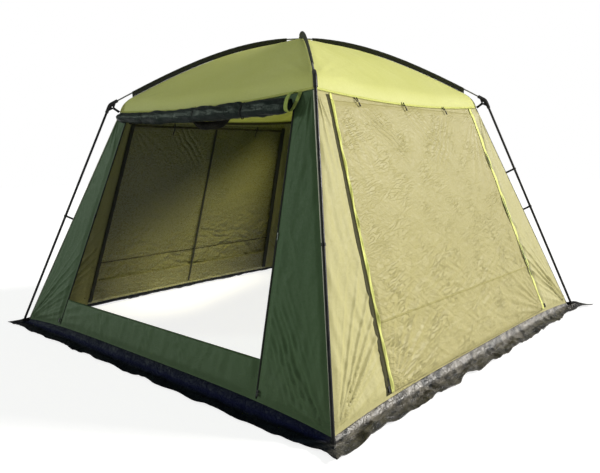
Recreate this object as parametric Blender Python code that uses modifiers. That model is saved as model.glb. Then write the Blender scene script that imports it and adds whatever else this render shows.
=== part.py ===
"""Square camping gazebo: four splayed steel legs, two crossing roof poles, a domed roof, four sloping walls.

Metres, +Z up. The origin is on the ground under the apex. The doorway wall faces -Y and is called front.
Each corner has an empty whose X axis points outward along the diagonal, and each wall has an empty whose
XY plane is the outer face of the wall, X along the ground, Y up the slope and Z outward.
"""

import math

import bmesh
import bpy
import numpy as np
from mathutils import Vector

# Clearances
FIT = 0.0003  # radial, of what plugs in or passes through
PLUG_GAP = 0.0005  # left at the bottom of a socket
LAYER_GAP = 0.0005  # between two layers of cloth
CUT_OVERRUN = 0.05  # how far a cutter runs past what it cuts

# Overall frame
LEG_SPREAD = 3.40  # between neighbouring feet, centre to centre
ELBOW_SPREAD = 2.218  # between neighbouring elbows
ELBOW_HEIGHT = 1.812
ARCH_RISE = 0.512  # from the elbows to the axis of the lower roof pole at the apex
ARCH_STIFFENING = 0.116  # per square metre, straightens a roof pole towards its ends
ARCH_SEGMENTS = 24

# Roof poles
POLE_DIAMETER = 0.011
POLE_RESOLUTION = 2
CROSSING_GAP = 0.0006
FERRULE_WALL = 0.0014
FERRULE_LENGTH = 0.120

# Legs
LEG_DIAMETER = 0.019
LEG_WALL = 0.001
LEG_UPPER_LENGTH = 1.04  # from the elbow's bend to the joint
SPIGOT_LENGTH = 0.050
TUBE_STEPS = 14

# Elbows
ELBOW_WALL = 0.0037
ELBOW_ARM = 0.072
ELBOW_BEND = 0.018
ELBOW_BEND_STEPS = 3
ELBOW_INSET = 0.020  # from the bend to where a tube or pole stops
SHELL_RESOLUTION = 3
BORE_RESOLUTION = 4
GUSSET_THICKNESS = 0.008
GUSSET_SETBACK = 0.011  # from a socket's mouth to the gusset's root
GUSSET_REACH = 0.040
GUSSET_TIP_HALF = 0.011
GUSSET_HOLE_DIAMETER = 0.010
GUSSET_HOLE_CENTRE = 0.027

# Feet
FOOT_DIAMETER = 0.032
FOOT_THICKNESS = 0.005
FOOT_PIN_CLEARANCE = 0.0007
FOOT_PIN_START = 0.001
FOOT_PIN_LENGTH = 0.070

# Walls, measured on the outer face
CLOTH = 0.0015
WALL_FOOT_INSET = 0.026  # inside the line of the feet
WALL_TOP_INSET = 0.056  # inside the line of the elbows
WALL_TOP_DROP = 0.064  # below the elbows
EAVE_SAG = 0.045
HEM_HEIGHT = 0.060
HEM_CORNER_HEIGHT = 0.020
SEAM_GAP = 0.0014  # under the eave, where the roof's inner edge comes down
DOOR_HEADER = 0.088  # from the eave's corners down to the doorway
DOOR_TOP_JAMB = 0.128
DOOR_SILL_JAMB = 0.574
DOOR_SILL_HEIGHT = 0.270
OUTLINE_STEPS = 8

# Curtains and nets on the three closed walls
CURTAIN_HEADER = 0.030  # above the doorway
CURTAIN_SKIRT_GAP = 0.006
CURTAIN_OVERLAP = 0.012
NET_HEADER = 0.020
NET_HEM_GAP = 0.020
NET_OVERLAP = 0.010
NET_THICKNESS = 0.001

# Zip sliders
SLIDER_WIDTH = 0.011
SLIDER_LENGTH = 0.016
SLIDER_THICKNESS = 0.0055
SLIDER_EDGE = 0.0012
PULL_WIDTH = 0.007
PULL_LENGTH = 0.030
PULL_THICKNESS = 0.0016
SLIDER_SIDE_GAP = 0.001
SLIDER_PARKED_HEIGHT = 0.925  # on the open doorway
SLIDER_CLOSED_HEIGHT = 0.150  # on the closed walls

# Rolled door and rolled net over the doorway
ROLL_LEFT_INSET = 0.023  # from the eave's corner
ROLL_RIGHT_INSET = 0.153
ROLL_RADIUS = 0.040
ROLL_DROP = 0.080  # from the eave's corners to the roll's middle
ROLL_LEFT_RISE = 0.040  # of its middle at the left end
ROLL_TALL_LEFT = 1.2  # height of its section as a share of its depth
ROLL_TALL_RIGHT = 1.7
ROLL_LOBES = 3
ROLL_TWIST = 2.5  # radians per metre
NET_ROLL_INSET = 0.153
NET_ROLL_RADIUS = 0.019
NET_ROLL_DROP = 0.084
NET_ROLL_SLUMP = 0.068
NET_ROLL_SLUMP_AT = 0.125
NET_ROLL_SLUMP_WIDTH = 0.190
NET_ROLL_SLUMP_POWER = 4
NET_ROLL_SLUMP_SWELL = 0.9
NET_ROLL_LOBES = 2
NET_ROLL_TWIST = 6.0
BUNDLE_STATIONS = 34
BUNDLE_SIDES = 16
BUNDLE_END_SHARE = 0.45  # of the full radius
BUNDLE_LOBE_DEPTH = 0.07
BUNDLE_RIPPLE_DEPTH = 0.06
BUNDLE_RIPPLE = 17.0  # radians per metre

# Roof and sleeves
SLEEVE_DROP = 0.036  # from a pole's axis to the roof's ridge
SLEEVE_START = 0.105  # from the apex, along the diagonal
SLEEVE_ELBOW_GAP = 0.188  # from the sleeve's end to the elbow's bend, along the diagonal
SLEEVE_CLOTH = 0.0012
SLEEVE_RIDGE_GAP = 0.0005
EAVE_SHOULDER = (0.014, 0.074)  # the curve's control point, inward of and above the roof's corner
SHOULDER_STEPS = 4
GORE_STEPS = 6

# Skirt
SKIRT_WIDTH = 0.118
SKIRT_LAP = 0.012  # up the wall above the hem
SKIRT_CLOTH = 0.0018
SKIRT_FOLDS = 6
SKIRT_FOLD_HEIGHT = 0.016
SKIRT_BEND_SHARE = 0.45  # of the hem's height, where the skirt leaves the wall
SKIRT_BEND_OUT = 0.010
SKIRT_BEND_WAVE = 0.004
SKIRT_LANDING_OUT = 0.036  # from the wall's foot line
SKIRT_LANDING_HEIGHT = 0.004
SKIRT_LANDING_FOLD = 0.25  # share of the fold's full height
SKIRT_MIDDLE_BULGE = 0.008
SKIRT_EDGE_WAVE = 0.009
SKIRT_EDGE_FOLD = 0.55
SKIRT_EDGE_PITCH = 1.7  # waves of the edge for each fold
SKIRT_STEPS = 24
SKIRT_ROWS = 5
SKIRT_HOLE_MARGIN = 0.008  # round a foot

# Straps and leg clips
STRAP_WIDTH = 0.020
STRAP_THICKNESS = 0.002
STRAP_GAP = 0.0005
STRAP_TIP_GAP = 0.0062
CLIP_LENGTH = 0.016
CLIP_WALL = 0.0032
CLIP_MOUTH = 0.012
CLIP_TAB_THICKNESS = 0.002
CLIP_TAB_GAP = 0.0006
CLIP_LOWER = 0.998  # from the elbow's bend, along the leg
CLIP_UPPER = 0.639

CORNERS = {"front_left": 225, "front_right": 315, "back_right": 45, "back_left": 135}
WALLS = {"front": 0, "right": 90, "back": 180, "left": 270}
CLOSED_WALLS = ("right", "back", "left")
ARCHES = {"arch_a": (45, "front_left", "back_right"), "arch_b": (135, "front_right", "back_left")}

# Sizes that follow from those above
DIAGONAL = math.sqrt(2)
ELBOW_REACH = ELBOW_SPREAD / 2 * DIAGONAL
FOOT_REACH = LEG_SPREAD / 2 * DIAGONAL
ARCH_HEIGHT = ELBOW_HEIGHT + ARCH_RISE
ARCH_TOPS = {"arch_a": ARCH_HEIGHT, "arch_b": ARCH_HEIGHT + POLE_DIAMETER + CROSSING_GAP}
FERRULE_DIAMETER = POLE_DIAMETER + 2 * (FIT + FERRULE_WALL)
ELBOW_DIAMETER = LEG_DIAMETER + 2 * (FIT + ELBOW_WALL)
FOOT_PIN_DIAMETER = LEG_DIAMETER - 2 * (LEG_WALL + FOOT_PIN_CLEARANCE)
WALL_FOOT_HALF = LEG_SPREAD / 2 - WALL_FOOT_INSET
WALL_TOP_HALF = ELBOW_SPREAD / 2 - WALL_TOP_INSET
WALL_TOP_HEIGHT = ELBOW_HEIGHT - WALL_TOP_DROP
WALL_LEAN = (WALL_FOOT_HALF - WALL_TOP_HALF) / WALL_TOP_HEIGHT  # inward per metre of height
WALL_SLOPE = math.hypot(1, WALL_LEAN)  # metres up the wall per metre of height
DOOR_TOP_HALF = WALL_TOP_HALF - DOOR_TOP_JAMB
DOOR_TOP_HEIGHT = WALL_TOP_HEIGHT - DOOR_HEADER
DOOR_SILL_HALF = WALL_FOOT_HALF - DOOR_SILL_JAMB
DOOR_LEAN = (DOOR_SILL_HALF - DOOR_TOP_HALF) / (DOOR_TOP_HEIGHT - DOOR_SILL_HEIGHT)
CURTAIN_TOP_HEIGHT = DOOR_TOP_HEIGHT + CURTAIN_HEADER
CURTAIN_BOTTOM_HEIGHT = HEM_HEIGHT + SKIRT_LAP + CURTAIN_SKIRT_GAP
NET_TOP_HEIGHT = DOOR_TOP_HEIGHT + NET_HEADER
NET_BOTTOM_HEIGHT = HEM_HEIGHT + NET_HEM_GAP
NET_FACE = -(CLOTH + LAYER_GAP + NET_THICKNESS)  # the nets' inner face
ROLL_START = ROLL_LEFT_INSET - WALL_TOP_HALF
ROLL_END = WALL_TOP_HALF - ROLL_RIGHT_INSET
ROLL_HEIGHT = WALL_TOP_HEIGHT - ROLL_DROP
NET_ROLL_HALF = WALL_TOP_HALF - NET_ROLL_INSET
NET_ROLL_HEIGHT = WALL_TOP_HEIGHT - NET_ROLL_DROP
SLEEVE_END = ELBOW_REACH - SLEEVE_ELBOW_GAP
SLEEVE_RADIUS = FERRULE_DIAMETER / 2 + FIT  # inside the channel
SKIRT_OUTER_HALF = WALL_FOOT_HALF + SKIRT_WIDTH
SKIRT_HOLE_DIAMETER = FOOT_DIAMETER + 2 * SKIRT_HOLE_MARGIN

COLOURS = {
    "glass_fibre": ((0.16, 0.16, 0.155), 0.45, 0.0),
    "steel_tube": ((0.015, 0.015, 0.016), 0.4, 0.6),
    "elbow_plastic": ((0.012, 0.012, 0.013), 0.45, 0.0),
    "pin_steel": ((0.30, 0.30, 0.30), 0.35, 1.0),
    "lime_cloth": ((0.70, 0.71, 0.23), 0.8, 0.0),
    "green_cloth": ((0.062, 0.12, 0.05), 0.8, 0.0),
    "khaki_cloth": ((0.60, 0.56, 0.26), 0.8, 0.0),
    "sleeve_cloth": ((0.036, 0.040, 0.030), 0.85, 0.0),
    "roll_cloth": ((0.012, 0.020, 0.027), 0.7, 0.0),
    "net_mesh": ((0.02, 0.02, 0.017), 0.9, 0.0),
    "skirt_film": ((0.03, 0.03, 0.034), 0.5, 0.0),
    "webbing": ((0.012, 0.012, 0.012), 0.85, 0.0),
    "slider_metal": ((0.02, 0.02, 0.02), 0.35, 0.8),
}


def clear_scene():
    for obj in list(bpy.data.objects):
        bpy.data.objects.remove(obj)


def new_collection(name, hidden=False):
    collection = bpy.data.collections.new(name)
    collection.hide_render = hidden
    bpy.context.scene.collection.children.link(collection)
    return collection


def paint(obj, name, finish):
    """Gives an object its own Principled material in one of the finishes."""
    colour, roughness, metallic = COLOURS[finish]
    material = bpy.data.materials.new(f"{name}_{finish}")
    material.use_nodes = True
    shader = material.node_tree.nodes["Principled BSDF"]
    shader.inputs["Base Color"].default_value = (*colour, 1)
    shader.inputs["Roughness"].default_value = roughness
    shader.inputs["Metallic"].default_value = metallic
    obj.data.materials.clear()
    obj.data.materials.append(material)


def add_empty(name, location=(0, 0, 0), rotation=(0, 0, 0)):
    empty = bpy.data.objects.new(name, None)
    empty.location = location
    empty.rotation_euler = rotation
    GAZEBO.objects.link(empty)
    return empty


def add_part(name, data, finish, parent, location=(0, 0, 0), rotation=(0, 0, 0)):
    """One sub-part, with a mesh or curve of its own, under the empty it is laid out on."""
    obj = bpy.data.objects.new(name, data.copy())
    obj.parent = parent
    obj.location = location
    obj.rotation_euler = rotation
    GAZEBO.objects.link(obj)
    paint(obj, name, finish)
    return obj


def scratch(name, data):
    """A helper object among the cutters, which isn't part of the gazebo."""
    obj = bpy.data.objects.new(name, data)
    obj.hide_render = True
    obj.display_type = "WIRE"
    CUTTERS.objects.link(obj)
    return obj


def baked(obj):
    """The helper's evaluated mesh, with curve caps welded. The helper is removed."""
    graph = bpy.context.evaluated_depsgraph_get()
    mesh = bpy.data.meshes.new_from_object(obj.evaluated_get(graph))
    matrix = obj.matrix_world.copy()
    bpy.data.objects.remove(obj)
    work = bmesh.new()
    work.from_mesh(mesh)
    bmesh.ops.remove_doubles(work, verts=work.verts, dist=1e-5)
    bmesh.ops.transform(work, matrix=matrix, verts=work.verts)
    bmesh.ops.recalc_face_normals(work, faces=work.faces)
    work.to_mesh(mesh)
    work.free()
    mesh.shade_smooth()
    mesh.set_sharp_from_angle(angle=math.radians(35))
    return mesh


def combined(mesh, others, solver="EXACT"):
    """A mesh after Booleans with other meshes, given as pairs of operation and mesh."""
    body = scratch("body", mesh)
    helpers = []
    for operation, other in others:
        helper = scratch("cutter", other)
        helpers.append(helper)
        modifier = body.modifiers.new(operation.lower(), "BOOLEAN")
        modifier.operation = operation
        modifier.object = helper
        modifier.solver = solver
    bpy.context.view_layer.update()
    result = baked(body)
    for helper in helpers:
        bpy.data.objects.remove(helper)
    return result


def tube(points, radius, resolution=POLE_RESOLUTION):
    """The mesh of a round bar along straight stretches between points."""
    data = bpy.data.curves.new("tube", "CURVE")
    data.dimensions = "3D"
    data.bevel_depth = radius
    data.bevel_resolution = resolution
    data.use_fill_caps = True
    spline = data.splines.new("POLY")
    spline.points.add(len(points) - 1)
    for point, place in zip(spline.points, points):
        point.co = (*place, 1)
    helper = scratch("tube", data)
    bpy.context.view_layer.update()
    return baked(helper)


def leg_bore(points):
    """The mesh of a many-sided bore whose flats clear a leg."""
    sides = 4 + 2 * BORE_RESOLUTION
    return tube(points, (LEG_DIAMETER / 2 + FIT) / math.cos(math.pi / sides), BORE_RESOLUTION)


def plate(outlines, thickness):
    """A flat 2D curve, centred on its plane, from an outline and any holes."""
    data = bpy.data.curves.new("plate", "CURVE")
    data.dimensions = "2D"
    data.fill_mode = "BOTH"
    data.extrude = thickness / 2
    for outline in outlines:
        spline = data.splines.new("POLY")
        spline.points.add(len(outline) - 1)
        spline.use_cyclic_u = True
        for point, place in zip(spline.points, outline):
            point.co = (place[0], place[1], 0, 1)
    return data


def upright_plate(outlines, thickness):
    """The mesh of a plate whose outline is given as distance outward and height, in a corner's plane."""
    helper = scratch("plate", plate(outlines, thickness))
    helper.rotation_euler = (math.pi / 2, 0, 0)
    bpy.context.view_layer.update()
    return baked(helper)


def turned(profile, steps=TUBE_STEPS):
    """A mesh turned about Z from a closed profile of radius and height, which runs down its outer side."""
    mesh = bpy.data.meshes.new("profile")
    corners = [(radius, 0, height) for radius, height in profile]
    loop = [(i, (i + 1) % len(corners)) for i in range(len(corners))]
    mesh.from_pydata(corners, loop, [])
    helper = scratch("turned", mesh)
    screw = helper.modifiers.new("turn", "SCREW")
    screw.steps = steps
    screw.render_steps = steps
    screw.use_merge_vertices = True
    screw.merge_threshold = 0.00001
    bpy.context.view_layer.update()
    return baked(helper)


def lofted(rings, cap_ends):
    """A mesh through closed rings of points, one array of places for each ring."""
    rings = np.asarray(rings)
    count, sides = rings.shape[:2]
    faces = []
    for ring in range(count - 1):
        for side in range(sides):
            after = (side + 1) % sides
            low, high = ring * sides, (ring + 1) * sides
            faces.append((low + side, low + after, high + after, high + side))
    if cap_ends:
        faces.append(tuple(range(sides))[::-1])
        faces.append(tuple((count - 1) * sides + side for side in range(sides)))
    mesh = bpy.data.meshes.new("loft")
    mesh.from_pydata(rings.reshape(-1, 3).tolist(), [], faces)
    return mesh


def round_outline(centre, radius, steps=12):
    angles = [2 * math.pi * step / steps for step in range(steps)]
    return [(centre[0] + radius * math.cos(a), centre[1] + radius * math.sin(a)) for a in angles]


def eased(start, control, end, steps):
    """Points of a quadratic curve from start to end, both included."""
    share = np.linspace(0, 1, steps + 1)[:, None]
    start, control, end = np.array(start), np.array(control), np.array(end)
    return (1 - share) ** 2 * start + 2 * share * (1 - share) * control + share**2 * end


def arch_height(reach, top):
    """Height of a roof pole's axis at a distance from the apex along its diagonal."""
    share = (reach / ELBOW_REACH) ** 2
    stiff = (1 + ARCH_STIFFENING * ELBOW_REACH**2) / (1 + ARCH_STIFFENING * reach**2)
    return top - (top - ELBOW_HEIGHT) * share * stiff


def arch_path(arch):
    """The axis of one roof pole from elbow to elbow, as straight stretches in the arch's own plane."""
    reach = np.linspace(-ELBOW_REACH, ELBOW_REACH, ARCH_SEGMENTS + 1)
    return np.column_stack([reach, np.zeros_like(reach), arch_height(reach, ARCH_TOPS[arch])])


def distances(path):
    steps = np.linalg.norm(np.diff(path, axis=0), axis=1)
    return np.concatenate([[0], np.cumsum(steps)])


def stretch(path, start, end):
    """The part of a path between two distances along it."""
    along = distances(path)
    inner = along[(along > start + 1e-6) & (along < end - 1e-6)]
    wanted = np.concatenate([[start], inner, [end]])
    return np.column_stack([np.interp(wanted, along, path[:, axis]) for axis in range(3)])


def ridge_points():
    """The roof's ridge under a roof pole as distance outward and height, from the apex to the eave's corner."""
    step = 2 * ELBOW_REACH / ARCH_SEGMENTS
    reach = np.append(np.arange(0, SLEEVE_END - step / 2, step), SLEEVE_END)
    height = arch_height(reach, ARCH_HEIGHT) - SLEEVE_DROP
    corner = (WALL_TOP_HALF * DIAGONAL, WALL_TOP_HEIGHT)
    control = (corner[0] - EAVE_SHOULDER[0], corner[1] + EAVE_SHOULDER[1])
    shoulder = eased((reach[-1], height[-1]), control, corner, SHOULDER_STEPS)
    return np.vstack([np.column_stack([reach, height]), shoulder[1:]])


def leg_direction():
    return Vector((FOOT_REACH - ELBOW_REACH, 0, -ELBOW_HEIGHT)).normalized()


def along_leg(distance):
    """A point on a leg's axis, in its corner's frame, at a distance below the elbow's bend."""
    return Vector((ELBOW_REACH, 0, ELBOW_HEIGHT)) + leg_direction() * distance


def up_wall(height):
    """Distance up the slope of a wall to a height."""
    return height * WALL_SLOPE


def wall_half(height):
    return WALL_FOOT_HALF - WALL_LEAN * height


def door_half(height):
    return DOOR_SILL_HALF - DOOR_LEAN * (height - DOOR_SILL_HEIGHT)


def eave_height(x):
    return WALL_TOP_HEIGHT - EAVE_SAG * (1 - (x / WALL_TOP_HALF) ** 2)


def hem_height(x):
    return HEM_HEIGHT - (HEM_HEIGHT - HEM_CORNER_HEIGHT) * abs(x / WALL_FOOT_HALF) ** 4


def make_poles(arch, corners):
    """Three glass-fibre sections of one roof pole. The middle one carries a metal ferrule at each end."""
    path = arch_path(arch)
    length = distances(path)[-1]
    radius = POLE_DIAMETER / 2
    first, second = length / 3, 2 * length / 3
    middle = tube(stretch(path, first, second), radius)
    for joint, outer in ((first, first - FERRULE_LENGTH / 2), (second, second + FERRULE_LENGTH / 2)):
        inner = 2 * joint - outer
        ferrule = stretch(path, min(outer, inner), max(outer, inner))
        beyond = outer + (outer - joint)
        stop = joint + math.copysign(PLUG_GAP, outer - joint)
        bore = stretch(path, min(beyond, stop), max(beyond, stop))
        joins = [("UNION", tube(ferrule, FERRULE_DIAMETER / 2)), ("DIFFERENCE", tube(bore, radius + FIT))]
        middle = combined(middle, joins)
    add_part(f"{arch}_middle", middle, "glass_fibre", EMPTIES[arch])
    side = tube(stretch(path, second + 2 * PLUG_GAP, length - ELBOW_INSET), radius)
    for corner in corners:
        add_part(f"{arch}_{corner}", side, "glass_fibre", EMPTIES[corner])


def elbow_axes(arch):
    """An elbow's bend point, and its directions to the pole, to the leg, inward and across the gusset."""
    bend = Vector((ELBOW_REACH, 0, ELBOW_HEIGHT))
    to_pole = (Vector(arch_path(arch)[-2]) - bend).normalized()
    to_leg = leg_direction()
    return bend, to_pole, to_leg, (to_pole + to_leg).normalized(), (to_leg - to_pole).normalized()


def elbow_mesh(arch):
    """A plastic elbow: a bent socket tube with a drilled gusset on its inner side.

    At some leg slopes the exact solver leaves an edge open where the gusset meets the bend.
    """
    bend, to_pole, to_leg, inward, across = elbow_axes(arch)
    turn = eased(bend + to_pole * ELBOW_BEND, bend, bend + to_leg * ELBOW_BEND, ELBOW_BEND_STEPS)
    axis = [bend + to_pole * ELBOW_ARM, *turn, bend + to_leg * ELBOW_ARM]
    shell = tube(axis, ELBOW_DIAMETER / 2, SHELL_RESOLUTION)
    root = ELBOW_ARM - GUSSET_SETBACK
    corners = [bend + to_pole * root, bend, bend + to_leg * root]
    corners += [bend + inward * GUSSET_REACH + across * half for half in (GUSSET_TIP_HALF, -GUSSET_TIP_HALF)]
    outline = [(corner.x, corner.z) for corner in corners]
    hole = bend + inward * GUSSET_HOLE_CENTRE
    hole_outline = round_outline((hole.x, hole.z), GUSSET_HOLE_DIAMETER / 2)
    gusset = upright_plate([outline, hole_outline], GUSSET_THICKNESS)
    bores = (ELBOW_INSET - PLUG_GAP, ELBOW_ARM + CUT_OVERRUN)
    return combined(
        shell,
        [
            ("UNION", gusset),
            ("DIFFERENCE", tube([bend + to_pole * reach for reach in bores], POLE_DIAMETER / 2 + FIT)),
            ("DIFFERENCE", leg_bore([bend + to_leg * reach for reach in bores])),
        ],
        solver="MANIFOLD",
    )


def make_legs(corner):
    """Two steel tubes: the upper one's drawn-in spigot plugs into the lower one."""
    outer = LEG_DIAMETER / 2
    inner = outer - LEG_WALL
    spigot = inner - FIT
    taper = outer - spigot
    end = LEG_UPPER_LENGTH
    upper = turned(
        [
            (outer, 0),
            (outer, ELBOW_INSET - end),
            (spigot, ELBOW_INSET - end - taper),
            (spigot, ELBOW_INSET - end - SPIGOT_LENGTH),
            (spigot - LEG_WALL, ELBOW_INSET - end - SPIGOT_LENGTH),
            (spigot - LEG_WALL, ELBOW_INSET - end),
            (inner, ELBOW_INSET - end + taper),
            (inner, 0),
        ]
    )
    to_leg = leg_direction()
    rest_height = FOOT_THICKNESS + FIT + outer * to_leg.x
    total = (ELBOW_HEIGHT - rest_height) / -to_leg.z
    start = end + taper
    lower = turned([(outer, 0), (outer, start - total), (inner, start - total), (inner, 0)])
    lean = (0, math.atan2(-to_leg.x, -to_leg.z), 0)
    add_part(f"leg_upper_{corner}", upper, "steel_tube", EMPTIES[corner], along_leg(ELBOW_INSET), lean)
    add_part(f"leg_lower_{corner}", lower, "steel_tube", EMPTIES[corner], along_leg(start), lean)


def foot_mesh():
    """A flat steel foot with the pin that stands in the leg's end. Its origin is on the ground."""
    lean = -leg_direction()
    disc = turned([(FOOT_DIAMETER / 2, FOOT_THICKNESS), (FOOT_DIAMETER / 2, 0), (0, 0), (0, FOOT_THICKNESS)])
    pin = tube([lean * FOOT_PIN_START, lean * FOOT_PIN_LENGTH], FOOT_PIN_DIAMETER / 2, SHELL_RESOLUTION)
    below = bpy.data.meshes.new("below")
    work = bmesh.new()
    bmesh.ops.create_cube(work, size=FOOT_DIAMETER * 2)
    bmesh.ops.translate(work, verts=work.verts, vec=(0, 0, -FOOT_DIAMETER - 1e-6))
    work.to_mesh(below)
    work.free()
    return combined(disc, [("UNION", pin), ("DIFFERENCE", below)])


def clip_mesh(distance):
    """A plastic clip round a leg, with the tab that runs to the wall's corner, in the corner's frame."""
    centre = along_leg(distance)
    along = leg_direction()
    inward = Vector((along.z, 0, -along.x))
    wall_corner = Vector((wall_half(0) * DIAGONAL, 0, 0))
    wall_up = Vector((-WALL_LEAN * DIAGONAL, 0, 1)).normalized()
    away = Vector((wall_up.z, 0, -wall_up.x))
    tab_end = (centre - wall_corner).dot(away) / -inward.dot(away)
    outer = LEG_DIAMETER / 2 + FIT + CLIP_WALL
    half = along * CLIP_LENGTH / 2
    ring = tube([centre - half, centre + half], outer, BORE_RESOLUTION)
    bore = leg_bore([centre - half * 2, centre + half * 2])

    def strip(start, end, width):
        corners = [(start, -1), (end, -1), (end, 1), (start, 1)]
        places = [centre + inward * reach + along * width / 2 * side for reach, side in corners]
        return [(place.x, place.z) for place in places]

    tab = upright_plate([strip(outer - CLIP_WALL / 2, tab_end - CLIP_TAB_GAP, CLIP_LENGTH)], CLIP_TAB_THICKNESS)
    mouth = upright_plate([strip(-outer * 2, -LEG_DIAMETER / 4, CLIP_LENGTH * 2)], CLIP_MOUTH)
    return combined(ring, [("UNION", tab), ("DIFFERENCE", bore), ("DIFFERENCE", mouth)])


def strap_mesh(arch):
    """A webbing strap from the elbow's gusset to the roof's corner, in the corner's frame."""
    bend, _, _, inward, across = elbow_axes(arch)
    start = bend + inward * (GUSSET_REACH + STRAP_GAP)
    tip = Vector((WALL_TOP_HALF * DIAGONAL, 0, WALL_TOP_HEIGHT))
    side = across * STRAP_WIDTH / 2
    end = tip - (tip - start).normalized() * STRAP_TIP_GAP
    corners = [start + side, start - side, end - side, end + side]
    return upright_plate([[(corner.x, corner.z) for corner in corners]], STRAP_THICKNESS)


def sleeve_mesh(arch):
    """A flat cloth sleeve: a channel round the pole, and a web down to the roof's ridge."""
    path = arch_path(arch)
    along = distances(path)
    start = np.interp(SLEEVE_START, path[:, 0], along)
    end = np.interp(SLEEVE_END, path[:, 0], along)
    channel = stretch(path, start, end)
    ridge = ridge_points()
    ridge = ridge[(ridge[:, 0] > SLEEVE_START) & (ridge[:, 0] < SLEEVE_END - 1e-6)]
    ends = [(reach, np.interp(reach, *ridge_points().T)) for reach in (SLEEVE_START, SLEEVE_END)]
    lower = [ends[0], *ridge.tolist(), ends[1]]
    outline = [(reach, height + SLEEVE_RIDGE_GAP) for reach, height in lower]
    outline += [(place[0], place[2]) for place in channel[::-1]]
    web = upright_plate([outline], SLEEVE_CLOTH)
    bore = stretch(path, start - CUT_OVERRUN, end + CUT_OVERRUN)
    return combined(
        tube(channel, SLEEVE_RADIUS + SLEEVE_CLOTH),
        [("UNION", web), ("DIFFERENCE", tube(bore, SLEEVE_RADIUS))],
    )


def side_points(along, outward, height, turn):
    """Places given along a side, outward of the centre and by height, on the side at this turn from the front."""
    cosine, sine = round(math.cos(math.radians(turn))), round(math.sin(math.radians(turn)))
    return np.column_stack([along * cosine + outward * sine, along * sine - outward * cosine, height])


def make_roof():
    """A domed roof of four gores. Each ring is a square whose sides sag more towards the eave."""
    ridge = ridge_points()
    widths = np.linspace(-1, 1, GORE_STEPS + 1)[:-1]
    corner = ridge[-1, 0]
    vertices = [(0, 0, ridge[0, 1])]
    for reach, height in ridge[1:]:
        half = reach / DIAGONAL
        sag = EAVE_SAG * (reach / corner) ** 2 * (1 - widths**2)
        outward = half + WALL_LEAN * sag * (reach / corner) ** 2
        for turn in WALLS.values():
            vertices += side_points(widths * half, outward, height - sag, turn).tolist()
    sides = 4 * GORE_STEPS
    faces = [(0, 1 + side, 1 + (side + 1) % sides) for side in range(sides)]
    for ring in range(len(ridge) - 2):
        inner, outer = 1 + ring * sides, 1 + (ring + 1) * sides
        for side in range(sides):
            after = (side + 1) % sides
            faces.append((inner + side, outer + side, outer + after, inner + after))
    mesh = bpy.data.meshes.new("roof")
    mesh.from_pydata(vertices, [], faces)
    roof = add_part("roof_canopy", mesh, "lime_cloth", None)
    shell = roof.modifiers.new("cloth", "SOLIDIFY")
    shell.thickness = CLOTH
    shell.offset = -1


def make_wall(wall):
    """A wall panel with a doorway in it, cut flat: its eave sags and its hem rises between the corners."""
    corner_gap = CLOTH * WALL_SLOPE + FIT
    top = np.linspace(-1, 1, OUTLINE_STEPS + 1) * (WALL_TOP_HALF - corner_gap)
    low = wall_half(HEM_CORNER_HEIGHT) - corner_gap
    bottom = np.linspace(1, -1, OUTLINE_STEPS + 1) * low
    outline = [(x, up_wall(eave_height(x) - SEAM_GAP)) for x in top]
    outline += [(x, up_wall(hem_height(x))) for x in bottom]
    door = [
        (DOOR_TOP_HALF, up_wall(DOOR_TOP_HEIGHT)),
        (DOOR_SILL_HALF, up_wall(DOOR_SILL_HEIGHT)),
        (-DOOR_SILL_HALF, up_wall(DOOR_SILL_HEIGHT)),
        (-DOOR_TOP_HALF, up_wall(DOOR_TOP_HEIGHT)),
    ]
    finish = "green_cloth" if wall in ("front", "back") else "khaki_cloth"
    data = plate([outline, door], CLOTH)
    add_part(f"wall_{wall}", data, finish, EMPTIES[wall], (0, 0, -CLOTH / 2))


def panel_outline(top, bottom, overlap):
    """A panel that covers the doorway, as points from the header line downward."""
    places = [(-1, top), (1, top), (1, bottom), (-1, bottom)]
    return [(side * (door_half(height) + overlap), up_wall(height - top)) for side, height in places]


def make_curtain(wall):
    """The outer curtain of a closed doorway. Its origin is on the header seam, about which it lifts."""
    outline = panel_outline(CURTAIN_TOP_HEIGHT, CURTAIN_BOTTOM_HEIGHT, CURTAIN_OVERLAP)
    place = (0, up_wall(CURTAIN_TOP_HEIGHT), LAYER_GAP + CLOTH / 2)
    finish = "green_cloth" if wall == "back" else "khaki_cloth"
    add_part(f"curtain_{wall}", plate([outline], CLOTH), finish, EMPTIES[wall], place)


def make_net(wall):
    """The mosquito net inside a closed doorway."""
    outline = panel_outline(NET_TOP_HEIGHT, NET_BOTTOM_HEIGHT, NET_OVERLAP)
    place = (0, up_wall(NET_TOP_HEIGHT), NET_FACE + NET_THICKNESS / 2)
    add_part(f"net_{wall}", plate([outline], NET_THICKNESS), "net_mesh", EMPTIES[wall], place)


def slider_mesh():
    """A zip slider with its pull hanging down, on the plane Z = 0. Its Y axis runs up the zip."""
    mesh = bpy.data.meshes.new("slider")
    work = bmesh.new()
    bmesh.ops.create_cube(work, size=1)
    bmesh.ops.scale(work, verts=work.verts, vec=(SLIDER_WIDTH, SLIDER_LENGTH, SLIDER_THICKNESS))
    bmesh.ops.translate(work, verts=work.verts, vec=(0, 0, SLIDER_THICKNESS / 2))
    bmesh.ops.bevel(work, geom=work.edges, offset=SLIDER_EDGE, segments=1, affect="EDGES")
    work.to_mesh(mesh)
    work.free()
    half = PULL_WIDTH / 2
    tip = -SLIDER_LENGTH / 2 - PULL_LENGTH
    outline = [(half, 0), (half, tip + half), (half / 2, tip), (-half / 2, tip), (-half, tip + half), (-half, 0)]
    helper = scratch("pull", plate([outline], PULL_THICKNESS))
    helper.location.z = SLIDER_THICKNESS / 2
    bpy.context.view_layer.update()
    return combined(mesh, [("UNION", baked(helper))])


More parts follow.
